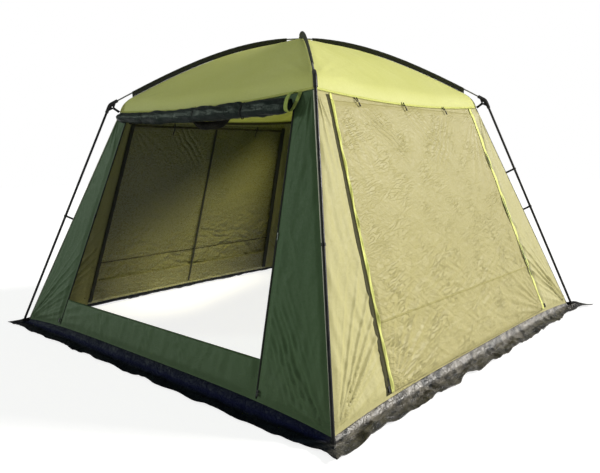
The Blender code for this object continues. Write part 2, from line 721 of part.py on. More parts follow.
def make_sliders(wall):
    """Two zip sliders beside the doorway's edges, and one on the net's middle zip of a closed wall."""
    closed = wall in CLOSED_WALLS
    height = SLIDER_CLOSED_HEIGHT if closed else SLIDER_PARKED_HEIGHT
    edge = CURTAIN_OVERLAP + SLIDER_SIDE_GAP if closed else 0
    lean = math.atan(DOOR_LEAN / WALL_SLOPE)
    beside = (edge + SLIDER_WIDTH / 2) / math.cos(lean)
    mesh = slider_mesh()
    for name, side in (("left", -1), ("right", 1)):
        place = (side * (door_half(height) + beside), up_wall(height), LAYER_GAP)
        add_part(f"zip_slider_{wall}_{name}", mesh, "slider_metal", EMPTIES[wall], place, (0, 0, side * lean))
    if closed:
        place = (0, up_wall(SLIDER_CLOSED_HEIGHT), NET_FACE - LAYER_GAP)
        rotation = (0, math.pi, 0)
        add_part(f"net_slider_{wall}", mesh, "slider_metal", EMPTIES[wall], place, rotation)


def bundle(start, end, centre, radius, lobes, twist):
    """A rolled-up bundle along X between two ends: lobed rings that shrink to blunt ends."""
    share = np.linspace(0, 1, BUNDLE_STATIONS)
    blunt = np.minimum(1, np.minimum(share, 1 - share) * BUNDLE_STATIONS / 2 + BUNDLE_END_SHARE)
    angles = np.linspace(0, 2 * math.pi, BUNDLE_SIDES, endpoint=False)
    rings = []
    for along, taper in zip(share, blunt):
        x = start + (end - start) * along
        up, out, size, tall = centre(x, radius)
        lobe = BUNDLE_LOBE_DEPTH * (1 + np.cos(lobes * angles + twist * x)) / 2
        ripple = BUNDLE_RIPPLE_DEPTH * (1 + math.sin(BUNDLE_RIPPLE * x)) / 2
        reach = size * (1 - lobe - ripple) * taper
        across = np.full(BUNDLE_SIDES, x)
        rings.append(np.column_stack([across, up + tall * reach * np.cos(angles), out + reach * np.sin(angles)]))
    return lofted(rings, True)


def make_rolls():
    """The front curtain and net, rolled up under the eave outside and inside the wall."""

    def door_centre(x, radius):
        share = (x - ROLL_START) / (ROLL_END - ROLL_START)
        height = ROLL_HEIGHT + ROLL_LEFT_RISE * (1 - share) ** 2
        tall = ROLL_TALL_LEFT + (ROLL_TALL_RIGHT - ROLL_TALL_LEFT) * share
        return up_wall(height), LAYER_GAP + radius, radius, tall

    def net_centre(x, radius):
        slump = math.exp(-(((x - NET_ROLL_SLUMP_AT) / NET_ROLL_SLUMP_WIDTH) ** NET_ROLL_SLUMP_POWER))
        size = radius * (1 + NET_ROLL_SLUMP_SWELL * slump)
        return up_wall(NET_ROLL_HEIGHT - NET_ROLL_SLUMP * slump), -(CLOTH + LAYER_GAP + size), size, 1

    door = bundle(ROLL_START, ROLL_END, door_centre, ROLL_RADIUS, ROLL_LOBES, ROLL_TWIST)
    net = bundle(-NET_ROLL_HALF, NET_ROLL_HALF, net_centre, NET_ROLL_RADIUS, NET_ROLL_LOBES, NET_ROLL_TWIST)
    add_part("door_roll", door, "roll_cloth", EMPTIES["front"])
    add_part("net_roll", net, "net_mesh", EMPTIES["front"])


def skirt_row(row, share):
    """Distance outward and height of one row of the skirt at shares of a side from -1 to 1."""
    hem = hem_height(share * WALL_FOOT_HALF)
    turns = SKIRT_FOLDS * math.pi * (share + 1)
    fold = SKIRT_FOLD_HEIGHT * (1 - np.cos(turns)) / 2
    flat = 1 - share**2
    if row == 0:
        height = hem + SKIRT_LAP
        return wall_half(height) + LAYER_GAP * WALL_SLOPE, height
    if row == 1:
        height = hem * SKIRT_BEND_SHARE
        wave = SKIRT_BEND_WAVE * fold / SKIRT_FOLD_HEIGHT
        return wall_half(height) + SKIRT_BEND_OUT + wave, height
    if row == 2:
        landing = np.full_like(share, WALL_FOOT_HALF + SKIRT_LANDING_OUT)
        return landing, SKIRT_LANDING_HEIGHT + SKIRT_LANDING_FOLD * fold
    if row == 3:
        middle = (WALL_FOOT_HALF + SKIRT_OUTER_HALF) / 2
        return middle + SKIRT_MIDDLE_BULGE * flat, fold
    wave = SKIRT_EDGE_WAVE * (np.sin(SKIRT_EDGE_PITCH * turns) * np.sqrt(flat) - 1)
    return SKIRT_OUTER_HALF + wave * (1 - share**8), SKIRT_EDGE_FOLD * fold


def make_skirt():
    """A ground skirt sewn outside the hem, folded in waves, with a hole at each corner for the foot."""
    share = np.linspace(-1, 1, SKIRT_STEPS + 1)[:-1]
    rings = []
    for row in range(SKIRT_ROWS):
        outward, height = skirt_row(row, share)
        sides = [side_points(share * outward, outward, height, turn) for turn in WALLS.values()]
        rings.append(np.vstack(sides))
    cloth = scratch("cloth", lofted(rings, False))
    shell = cloth.modifiers.new("cloth", "SOLIDIFY")
    shell.thickness = SKIRT_CLOTH
    shell.offset = -1
    bpy.context.view_layer.update()
    holes = []
    for bearing in CORNERS.values():
        angle = math.radians(bearing)
        foot_centre = Vector((math.cos(angle), math.sin(angle), 0)) * FOOT_REACH
        rise = Vector((0, 0, CUT_OVERRUN))
        hole = tube([foot_centre - rise, foot_centre + rise], SKIRT_HOLE_DIAMETER / 2, BORE_RESOLUTION)
        holes.append(("DIFFERENCE", hole))
    add_part("skirt", combined(baked(cloth), holes), "skirt_film", None)


clear_scene()
GAZEBO = new_collection("camping_gazebo")
CUTTERS = new_collection("cutters", hidden=True)
EMPTIES = {}
for corner_name, bearing_deg in CORNERS.items():
    EMPTIES[corner_name] = add_empty(f"corner_{corner_name}", rotation=(0, 0, math.radians(bearing_deg)))
for arch_name, (bearing_deg, *_) in ARCHES.items():
    EMPTIES[arch_name] = add_empty(f"plane_{arch_name}", rotation=(0, 0, math.radians(bearing_deg)))
for wall_name, turn_deg in WALLS.items():
    turn_rad = math.radians(turn_deg)
    foot_line = (WALL_FOOT_HALF * math.sin(turn_rad), -WALL_FOOT_HALF * math.cos(turn_rad), 0)
    tilt = math.pi / 2 - math.atan(WALL_LEAN)
    EMPTIES[wall_name] = add_empty(f"face_{wall_name}", foot_line, (tilt, 0, turn_rad))

for arch_name, (_, *arch_corners) in ARCHES.items():
    make_poles(arch_name, arch_corners)
    elbow = elbow_mesh(arch_name)
    sleeve = sleeve_mesh(arch_name)
    strap = strap_mesh(arch_name)
    for corner_name in arch_corners:
        add_part(f"corner_strap_{corner_name}", strap, "webbing", EMPTIES[corner_name])
        add_part(f"elbow_{corner_name}", elbow, "elbow_plastic", EMPTIES[corner_name])
        add_part(f"pole_sleeve_{corner_name}", sleeve, "sleeve_cloth", EMPTIES[corner_name])

foot = foot_mesh()
lower_clip = clip_mesh(CLIP_LOWER)
for corner_name in CORNERS:
    make_legs(corner_name)
    add_part(f"foot_pin_{corner_name}", foot, "pin_steel", EMPTIES[corner_name], (FOOT_REACH, 0, 0))
    add_part(f"leg_clip_{corner_name}", lower_clip, "elbow_plastic", EMPTIES[corner_name])
add_part("leg_clip_upper_back_right", clip_mesh(CLIP_UPPER), "elbow_plastic", EMPTIES["back_right"])

make_roof()
make_skirt()
for wall_name in WALLS:
    make_wall(wall_name)
    make_sliders(wall_name)
for wall_name in CLOSED_WALLS:
    make_curtain(wall_name)
    make_net(wall_name)
make_rolls()
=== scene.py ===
"""Looks of the square camping gazebo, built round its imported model.

Metres, +Z up. The doorway wall is the front and faces -Y. "Along" runs to the right on a wall as seen from
outside, "outward" is away from the centre, and "lift" is off the wall's outer face. The UV map "cloth" is in
metres, so that a weave has its real size on every piece.
"""

import logging
import math
from collections.abc import Callable
from dataclasses import dataclass
from enum import Enum

import bmesh
import bpy
import numpy as np
from mathutils import Matrix, Quaternion, Vector


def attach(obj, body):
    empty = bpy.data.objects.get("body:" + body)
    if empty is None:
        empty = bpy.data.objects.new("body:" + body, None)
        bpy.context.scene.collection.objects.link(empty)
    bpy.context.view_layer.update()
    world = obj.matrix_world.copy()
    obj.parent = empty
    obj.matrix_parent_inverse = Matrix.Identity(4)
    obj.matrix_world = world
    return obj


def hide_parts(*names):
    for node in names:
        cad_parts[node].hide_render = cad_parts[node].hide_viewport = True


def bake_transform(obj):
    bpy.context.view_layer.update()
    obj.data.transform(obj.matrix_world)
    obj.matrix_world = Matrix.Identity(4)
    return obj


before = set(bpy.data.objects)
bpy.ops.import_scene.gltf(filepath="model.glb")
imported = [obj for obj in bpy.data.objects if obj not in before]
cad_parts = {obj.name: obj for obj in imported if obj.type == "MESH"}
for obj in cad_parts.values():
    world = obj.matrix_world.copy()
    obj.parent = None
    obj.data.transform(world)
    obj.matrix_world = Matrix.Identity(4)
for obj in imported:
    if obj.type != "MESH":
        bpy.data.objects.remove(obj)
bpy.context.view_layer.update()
LOG = logging.getLogger("camping_gazebo")
Array = np.ndarray
Pair = tuple[float, float]
Triple = tuple[float, float, float]
Spans = tuple[tuple[tuple[int, int], int], ...]

# Places that several pieces share
DIAGONAL = math.sqrt(2)  # reach along the diagonal for each metre outward
FOOT_REACH = 2.404163  # from the middle to a foot, along the diagonal
FOOT_OUT = 1.7  # from the middle to a foot, along X or Y
LEG_LEAN = 0.461258  # how far a leg comes inward for each metre of height
HANDS = ((-1, "left"), (1, "right"))
HINGE_HEIGHTS = (1.6895, 1.655)  # between these a curtain's cloth turns as it lifts


class Side(Enum):
    """The four sides, each with its turn from the front in degrees."""

    FRONT = 0
    RIGHT = 90
    BACK = 180
    LEFT = 270

    @property
    def label(self) -> str:
        """The side's name as the model's nodes have it."""
        return self.name.lower()

    @property
    def closed(self) -> bool:
        """Whether a curtain and a net close this side's doorway."""
        return self is not Side.FRONT

    def place(self, along: Array, outward: Array, height: Array) -> Array:
        """Stacks places on this side: along it, outward from the gazebo's middle, and height.

        Args:
            along: Distance to the right of the side's middle.
            outward: Distance from the gazebo's middle.
            height: Height above the ground.

        Returns:
            An array whose last axis is X, Y and Z.
        """
        turn = math.radians(self.value)
        cosine, sine = round(math.cos(turn)), round(math.sin(turn))
        along, outward, height = np.broadcast_arrays(along, outward, height)
        return np.stack([along * cosine + outward * sine, along * sine - outward * cosine, height], axis=-1)


class Corner(Enum):
    """The four corners, each with its bearing in degrees."""

    FRONT_LEFT = 225
    FRONT_RIGHT = 315
    BACK_RIGHT = 45
    BACK_LEFT = 135

    @property
    def label(self) -> str:
        """The corner's name as the model's nodes have it."""
        return self.name.lower()

    @property
    def arch_top(self) -> float:
        """Height at the apex of the roof pole that comes down to this corner."""
        return 2.324 if self in (Corner.FRONT_LEFT, Corner.BACK_RIGHT) else 2.3356

    def place(self, reach: Array, across: Array, height: Array) -> Array:
        """Stacks places in this corner's upright plane.

        Args:
            reach: Distance outward from the gazebo's middle.
            across: Distance to the left of the plane.
            height: Height above the ground.

        Returns:
            An array whose last axis is X, Y and Z.
        """
        cosine, sine = math.cos(math.radians(self.value)), math.sin(math.radians(self.value))
        reach, across, height = np.broadcast_arrays(reach, across, height)
        return np.stack([reach * cosine - across * sine, reach * sine + across * cosine, height], axis=-1)


def smooth(low: float, high: float, value: Array) -> Array:
    """Rises from 0 at low to 1 at high along a smooth S; low above high makes it fall."""
    share = np.clip((value - low) / (high - low), 0, 1)
    return share * share * (3 - 2 * share)


def bell(value: Array, middle: float, width: float, power: float = 2) -> Array:
    """1 at the middle, and dies away on both sides over about the width."""
    return np.exp(-(((value - middle) / width) ** power))


def bow(share: Array, start: float, bend: float, end: float) -> Array:
    """A quadratic curve from start to end, drawn towards the bend."""
    return (1 - share) ** 2 * start + 2 * share * (1 - share) * bend + share**2 * end


def through(values: Array, wanted: Array) -> Array:
    """Runs a smooth Catmull-Rom curve through evenly spaced values.

    Args:
        values: The values to pass through, along the first axis.
        wanted: Where to read the curve, from 0 at the first value to 1 at the last.

    Returns:
        The curve's values, with wanted's axis first.
    """
    padded = np.concatenate([2 * values[:1] - values[1:2], values, 2 * values[-1:] - values[-2:-1]])
    at = wanted * (len(values) - 1)
    step = np.clip(np.floor(at).astype(int), 0, len(values) - 2)
    share = (at - step).reshape((-1,) + (1,) * (values.ndim - 1))
    before, start, end, after = (padded[step + offset] for offset in range(4))
    square = 2 * before - 5 * start + 4 * end - after
    cube = 3 * start - before - 3 * end + after
    return start + 0.5 * share * (end - before + share * (square + share * cube))


@dataclass(frozen=True)
class Creases:
    """Repeatable folds of cloth, as heights over places x along the cloth and y up it."""

    seed: int  # picks the pattern, so that each piece has its own

    def _random(self, column: Array, row: Array) -> Array:
        """A fixed random number from 0 to 1 for each pair of whole numbers."""
        mixed = (column * 374761393 + row * 668265263 + self.seed * 974634777) & 0xFFFFFFFF
        mixed = ((mixed ^ (mixed >> 13)) * 1274126177) & 0xFFFFFFFF
        return (mixed ^ (mixed >> 16)) / 4294967296.0

    def noise(self, x: Array, y: Array | float = 0.0) -> Array:
        """Smooth gradient noise, about -1 to 1, with one swell for each unit of x and y."""
        x, y = np.broadcast_arrays(x, y)
        column, row = np.floor(x).astype(np.int64), np.floor(y).astype(np.int64)
        dx, dy = x - column, y - row
        total = np.zeros(x.shape)
        for right in (0, 1):
            for up in (0, 1):
                angle = 2 * math.pi * self._random(column + right, row + up)
                slope = np.cos(angle) * (dx - right) + np.sin(angle) * (dy - up)
                total += slope * smooth(1 - right, right, dx) * smooth(1 - up, up, dy)
        return 1.5 * total

    def swell(self, x: Array, y: Array, size: float, height: float) -> Array:
        """Soft swells of one size, from 0 to the height."""
        return height * (0.5 + 0.5 * self.noise(x / size, y / size))

    def crumple(self, x: Array, y: Array, size: float, height: float, stretch: float = 1) -> Array:
        """Sharp creases round soft facets: the fold is highest where warped noise crosses zero.

        Args:
            x: Places along the cloth.
            y: Places up the cloth.
            size: Usual distance between creases.
            height: Height of the sharpest crease.
            stretch: How much longer the creases are along y than along x.

        Returns:
            Heights from 0 to about the given height.
        """
        warp = Creases(self.seed + 71)
        bent_x = x / size + 0.7 * warp.noise(x / size * 0.6, y / size * 0.6)
        bent_y = y / (size * stretch) + 0.7 * warp.noise(y / size * 0.6 + 9.1, x / size * 0.6)
        broad = bell(self.noise(bent_x, bent_y), 0, 0.42)
        fine = bell(Creases(self.seed + 37).noise(bent_x * 1.6 + 3.7, bent_y * 1.6), 0, 0.42)
        return height * (0.68 * broad + 0.32 * fine)

    def ripple(self, x: Array, y: Array, size: Pair, height: float | Array, slant: float = 0) -> Array:
        """Short wavy folds side by side: noise that is longer along x, bent by broader noise.

        Args:
            x: Places along the cloth.
            y: Places up the cloth.
            size: Usual length of a fold along x and distance between folds along y.
            height: Height of the folds.
            slant: How far the folds climb for each metre along x.

        Returns:
            Heights from 0 to about the given height.
        """
        warp = Creases(self.seed + 19)
        bent = (y - slant * x) / size[1] + 1.1 * warp.noise(x / size[0] * 0.7, y / size[0] * 0.7)
        return height * (0.5 + 0.5 * np.clip(self.noise(x / size[0], bent) * 1.5, -1, 1))

    def fan(
        self, x: Array, y: Array, centre: Pair, toward: Pair, spread: float, count: float, reach: float,
        height: float, sharp: float = 2,
    ) -> Array:
        """Creases that fan out of a corner, as where cloth is pulled by a peg or strap.

        The height is a sharpened wave of the angle about the centre, which grows over the first 60 mm and
        dies away over the reach.

        Args:
            x: Places along the cloth.
            y: Places up the cloth.
            centre: Where the cloth is pulled.
            toward: A point in the middle of the fan.
            spread: Half-angle of the fan in radians.
            count: Half-waves for each radian, times pi.
            reach: Distance at which the creases have mostly died away.
            height: Height of the deepest crease.
            sharp: Power that narrows the creases.

        Returns:
            Heights from 0 to about the given height.
        """
        away_x, away_y = x - centre[0], y - centre[1]
        distance = np.hypot(away_x, away_y)
        middle = math.atan2(toward[1] - centre[1], toward[0] - centre[0])
        angle = (np.arctan2(away_y, away_x) - middle + math.pi) % (2 * math.pi) - math.pi
        drift = 3 * self.noise(angle * 3) + 0.35 * self.noise(distance * 5, angle * 4)
        wave = (0.5 + 0.5 * np.cos(count * math.pi * angle + drift)) ** sharp
        fade = bell(angle, 0, spread) * smooth(0.0, 0.06, distance) * bell(distance, 0, reach, 1.5)
        return height * wave * fade

    def pull(
        self, x: Array, y: Array, start: Pair, end: Pair, pitch: float, count: float, height: float
    ) -> Array:
        """A few creases side by side along a line, as cloth has where it is drawn tight between two points.

        Args:
            x: Places along the cloth.
            y: Places up the cloth.
            start: One end of the line.
            end: The other end.
            pitch: Distance between neighbouring creases.
            count: How many creases lie to each side.
            height: Height of the deepest crease.

        Returns:
            Heights from 0 to about the given height.
        """
        span = math.hypot(end[0] - start[0], end[1] - start[1])
        unit = ((end[0] - start[0]) / span, (end[1] - start[1]) / span)
        along = ((x - start[0]) * unit[0] + (y - start[1]) * unit[1]) / span
        across = (x - start[0]) * unit[1] - (y - start[1]) * unit[0]
        across = across + 0.3 * pitch * self.noise(along * 4)
        wave = (0.5 + 0.5 * np.cos(2 * math.pi * across / pitch)) ** 2
        fade = np.sqrt(np.clip(np.sin(math.pi * np.clip(along, 0, 1)), 0, 1))
        return height * wave * (bell(across, 0, pitch * count) * fade)

    def drawn(self, x: Array, y: Array, fans: list[tuple], pulls: list[tuple]) -> Array:
        """The sum of fans and pulls, each given as a row of what fan or pull takes after x and y."""
        return sum(self.fan(x, y, *row) for row in fans) + sum(self.pull(x, y, *row) for row in pulls)


@dataclass
class Patch:
    """A grid of places whose rows run up and whose columns run right, as seen from its outer side."""

    places: Array  # rows by columns by X, Y, Z
    across: Array  # places across the flat cloth, which spread over the grid
    up: Array  # places up the flat cloth
    keep: Array | None = None  # which faces to keep, or None for all
    tone: int = 0  # which of the piece's finishes the faces have

    def cloth(self) -> Array:
        """The place of each vertex on the flat cloth."""
        return np.stack([np.broadcast_to(part, self.places.shape[:2]) for part in (self.across, self.up)], -1)

    def faces(self, first: int) -> Array:
        """Corner numbers of the kept faces, for a grid whose first vertex has the given number."""
        rows, columns = self.places.shape[:2]
        numbers = first + np.arange(rows * columns).reshape(rows, columns)
        quads = np.stack([numbers[:-1, :-1], numbers[:-1, 1:], numbers[1:, 1:], numbers[1:, :-1]], axis=-1)
        return quads[self.keep] if self.keep is not None else quads.reshape(-1, 4)


@dataclass(frozen=True)
class WallFace:
    """The sloping plane of a wall's outer face, and the lines drawn on it."""

    foot_half: float = 1.674  # half the wall's width at the ground
    top_half: float = 1.053  # half its width at the eave's corners
    top_height: float = 1.748  # height of the eave's corners
    eave_sag: float = 0.045  # how far the eave hangs in its middle
    hem: float = 0.060  # height of the hem's middle
    hem_corner: float = 0.020  # height of the hem's corners
    sill: float = 0.270  # height of the doorway's sill
    header: float = 1.660  # height of the doorway's top
    sill_half: float = 1.100  # half the doorway's width at the sill
    header_half: float = 0.925  # half its width at the top

    @property
    def lean(self) -> float:
        """How far the wall comes inward for each metre of height."""
        return (self.foot_half - self.top_half) / self.top_height

    @property
    def slope(self) -> float:
        """Metres up the wall for each metre of height."""
        return math.hypot(1, self.lean)

    @property
    def corner_reach(self) -> float:
        """Distance of the eave's corners from the middle, along the diagonal."""
        return self.top_half * DIAGONAL

    def half(self, height: Array) -> Array:
        """Half the wall's width at a height, which is also its distance from the middle."""
        return self.foot_half - self.lean * height

    def door(self, height: Array) -> Array:
        """Half the doorway's width at a height, carried on above and below it."""
        share = (height - self.sill) / (self.header - self.sill)
        return self.sill_half - (self.sill_half - self.header_half) * share

    def eave(self, along: Array) -> Array:
        """Height of the eave's line."""
        return self.top_height - self.eave_sag * (1 - (along / self.top_half) ** 2)

    def hem_line(self, along: Array) -> Array:
        """Height of the hem's line, which comes down to the corners."""
        return self.hem - (self.hem - self.hem_corner) * np.abs(along / self.foot_half) ** 4

    def on(self, side: Side, along: Array, height: Array, lift: Array) -> Array:
        """Places on a side's wall, lifted square off its outer face (inward where lift is negative)."""
        outward = self.half(height) + lift / self.slope
        return side.place(along, outward, height + lift * self.lean / self.slope)

    def patch(self, side: Side, along: Array, height: Array, lift: Array, tone: int = 0) -> Patch:
        """A grid of cloth on a side's wall."""
        return Patch(self.on(side, along, height, lift), along, height * self.slope, tone=tone)

    def door_grid(
        self, low: float, high: float, lap: float, counts: tuple[int, int], share: float = 1
    ) -> tuple[Array, Array]:
        """A grid over a doorway that follows its splay.

        Args:
            low: Height of the lowest row.
            high: Height of the highest row.
            lap: How far it laps over the doorway's edges.
            counts: Faces along and up.
            share: Share of that width that it covers.

        Returns:
            Places along the wall and heights.
        """
        height = np.linspace(low, high, counts[1] + 1)[:, None]
        along = np.linspace(-share, share, counts[0] + 1)[None, :] * (self.door(height) + lap)
        return along, np.broadcast_to(height, along.shape)


WALL = WallFace()


def mesh_of(name: str, patches: tuple[Patch, ...], weld: float) -> bpy.types.Mesh:
    """Makes one smooth mesh of grids, with their shared edges welded.

    Args:
        name: Name of the mesh.
        patches: The grids.
        weld: Vertices nearer than this become one.

    Returns:
        The mesh, with the UV map "cloth" in metres.
    """
    places = np.concatenate([patch.places.reshape(-1, 3) for patch in patches])
    cloth = np.concatenate([patch.cloth().reshape(-1, 2) for patch in patches])
    firsts = np.cumsum([0] + [patch.places[..., 0].size for patch in patches])
    groups = [patch.faces(int(first)) for patch, first in zip(patches, firsts)]
    faces = np.concatenate(groups)
    tones = np.repeat([patch.tone for patch in patches], [len(group) for group in groups])
    mesh = bpy.data.meshes.new(name)
    mesh.vertices.add(len(places))
    mesh.vertices.foreach_set("co", places.astype(np.float32).ravel())
    mesh.loops.add(faces.size)
    mesh.loops.foreach_set("vertex_index", faces.astype(np.int32).ravel())
    mesh.polygons.add(len(faces))
    mesh.polygons.foreach_set("loop_start", np.arange(0, faces.size, 4, dtype=np.int32))
    mesh.polygons.foreach_set("material_index", tones.astype(np.int32))
    mesh.update(calc_edges=True)
    layer = mesh.uv_layers.new(name="cloth")
    layer.uv.foreach_set("vector", cloth[faces.ravel()].astype(np.float32).ravel())
    work = bmesh.new()
    work.from_mesh(mesh)
    bmesh.ops.remove_doubles(work, verts=work.verts, dist=weld)
    loose = [vertex for vertex in work.verts if not vertex.link_faces]
    bmesh.ops.delete(work, geom=loose, context="VERTS")
    work.to_mesh(mesh)
    work.free()
    mesh.shade_smooth()
    return mesh


def tube_patch(path: Array, radius: Array, sides: int) -> Patch:
    """A round bar carried along a path: rings square to the path, which close where the radius is 0.

    Args:
        path: Points along the bar's middle.
        radius: Radius at each point.
        sides: Points round each ring.

    Returns:
        The grid, with its first and last columns together.
    """
    guides = np.array([[0.31, 0.52, 0.79], [0.9, -0.3, 0.2]])
    tangent = np.gradient(path, axis=0)
    tangent = tangent / np.linalg.norm(tangent, axis=1)[:, None]
    normal = np.cross(tangent, guides[0] if abs(tangent[0] @ guides[0]) < 0.9 else guides[1])
    normal = normal / np.linalg.norm(normal, axis=1)[:, None]
    binormal = np.cross(tangent, normal)
    angle = np.linspace(0, 2 * math.pi, sides + 1)[None, :, None]
    ring = np.cos(angle) * normal[:, None] + np.sin(angle) * binormal[:, None]
    places = path[:, None] + radius[:, None, None] * ring
    run = np.concatenate([[0], np.cumsum(np.linalg.norm(np.diff(path, axis=0), axis=1))])
    girth = np.linspace(0, 2 * math.pi * float(np.max(radius)), sides + 1)
    return Patch(places, girth[None, :], run[:, None])


def rounded_block(centre: Array, axes: Array, half: Triple, sides: int = 20, power: float = 0.32) -> Patch:
    """A block with soft edges: a ball whose sines and cosines are raised to a small power.

    Args:
        centre: Middle of the block.
        axes: Its three unit directions as rows, right-handed.
        half: Half its size along each.
        sides: Points round it.
        power: The power, which is smaller for sharper edges.

    Returns:
        The grid, closed at both poles.
    """
    around = np.linspace(-math.pi, math.pi, sides + 1)[None, :]
    up = np.linspace(-math.pi / 2, math.pi / 2, sides // 2 + 1)[:, None]

    def soft(value: Array) -> Array:
        """Raises a sine or cosine to the power, with its sign kept."""
        return np.sign(value) * np.abs(value) ** power

    ring = soft(np.where(np.abs(np.cos(up)) < 1e-9, 0, np.cos(up)))
    local = [half[0] * ring * soft(np.cos(around)), half[1] * ring * soft(np.sin(around))]
    local.append(half[2] * soft(np.sin(up)) + 0 * around)
    places = centre + sum(part[..., None] * axis for part, axis in zip(local, axes))
    return Patch(places, around * half[0], up * half[2])


class Nodes:
    """A node tree in the making: adds nodes and joins them. Sizes are in metres."""

    def __init__(self, tree: bpy.types.NodeTree) -> None:
        """Remembers the tree."""
        self.tree = tree

    def add(self, kind: str, sockets: dict | None = None, **settings: object) -> bpy.types.Node:
        """Adds a node.

        Args:
            kind: The node's type, without its "ShaderNode" prefix.
            sockets: Input sockets by name or number, each with a value or an output socket to join.
            **settings: The node's own settings.

        Returns:
            The node.
        """
        node = self.tree.nodes.new(f"ShaderNode{kind}")
        for key, value in settings.items():
            setattr(node, key, value)
        for key, value in (sockets or {}).items():
            self.put(node.inputs[key], value)
        return node

    def put(self, socket: bpy.types.NodeSocket, value: object) -> None:
        """Sets an input socket to a value, or joins an output socket to it."""
        if isinstance(value, bpy.types.NodeSocket):
            self.tree.links.new(value, socket)
        else:
            opaque = isinstance(value, tuple) and len(value) == 3 and socket.type == "RGBA"
            socket.default_value = (*value, 1) if opaque else value

    def between(
        self, value: object, low: float, high: float, to_low: float = 0, to_high: float = 1
    ) -> object:
        """Maps a value's range to another, and holds it there."""
        sockets = {"Value": value, "From Min": low, "From Max": high, "To Min": to_low, "To Max": to_high}
        return self.add("MapRange", sockets).outputs[0]

    def math(self, operation: str, first: object, second: object = 0.0) -> object:
        """One sum of two values."""
        return self.add("Math", {0: first, 1: second}, operation=operation).outputs[0]

    def times(self, first: object, second: object) -> object:
        """The product of two values."""
        return self.math("MULTIPLY", first, second)

    def seen_by(self, *rays: str) -> object:
        """1 for the named kinds of ray, and 0 for the rest."""
        path = self.add("LightPath")
        seen = path.outputs[f"Is {rays[0]} Ray"]
        for ray in rays[1:]:
            seen = self.math("MAXIMUM", seen, path.outputs[f"Is {ray} Ray"])
        return seen


class Wiring(Nodes):
    """A material in the making, with patterns for cloth and metal."""

    def __init__(self, name: str) -> None:
        """Starts a material with a Principled shader."""
        self.material = bpy.data.materials.new(name)
        self.material.use_nodes = True
        super().__init__(self.material.node_tree)
        self.shader = self.tree.nodes["Principled BSDF"]

    def cloth_places(self) -> bpy.types.NodeSocket:
        """The place on the flat cloth, in metres."""
        return self.add("UVMap", uv_map="cloth").outputs[0]

    def model_places(self) -> bpy.types.NodeSocket:
        """The place in the model, in metres."""
        return self.add("TexCoord").outputs["Object"]

    def noise(self, places: object, size: float, detail: float = 2, distortion: float = 0) -> object:
        """Noise whose swells have the given size."""
        sockets = {"Vector": places, "Scale": 1 / size, "Detail": detail, "Distortion": distortion}
        return self.add("TexNoise", sockets).outputs[0]

    def drawn_out(self, places: object, turn: float, stretch: float) -> object:
        """Places turned and then squeezed, so that a pattern on them is longer along the slant."""
        settings = {0: places, "Rotation": (0.0, 0.0, turn), "Scale": (stretch, 1.0, 1.0)}
        return self.add("Mapping", settings, vector_type="TEXTURE").outputs[0]

    def line(self, places: object, size: float) -> object:
        """Thin creases, 1 where noise of a size crosses its middle."""
        off = self.math("ABSOLUTE", self.math("SUBTRACT", self.noise(places, size, 1.5, 0.2), 0.5))
        return self.between(off, 0, 0.045, 1, 0)

    def bands(self, places: object, pitch: float, direction: str) -> object:
        """Soft parallel threads, a pitch apart."""
        sockets = {"Vector": places, "Scale": math.pi / 10 / pitch}
        return self.add("TexWave", sockets, bands_direction=direction).outputs[1]

    def mix(self, share: object, first: object, second: object) -> object:
        """Two colours mixed by a share."""
        return self.add("Mix", {0: share, 6: first, 7: second}, data_type="RGBA").outputs[2]

    def bump(self, height: object, distance: float, strength: float, normal: object | None = None) -> object:
        """A normal bent by a height, on top of an earlier normal if there is one."""
        sockets = {"Height": height, "Distance": distance, "Strength": strength}
        return self.add("Bump", sockets if normal is None else sockets | {"Normal": normal}).outputs[0]

    def dress(self, **sockets: object) -> bpy.types.Material:
        """Fills the shader's sockets, named with underscores for spaces, and returns the material."""
        for key, value in sockets.items():
            self.put(self.shader.inputs[key.replace("_", " ")], value)
        return self.material

    def blend_in(self, share: object, other: bpy.types.Node) -> None:
        """Mixes another shader into the material by a share."""
        mixed = self.add("MixShader", {0: share, 1: self.shader.outputs[0], 2: other.outputs[0]})
        output = next(node for node in self.tree.nodes if node.type == "OUTPUT_MATERIAL")
        self.put(output.inputs["Surface"], mixed.outputs[0])


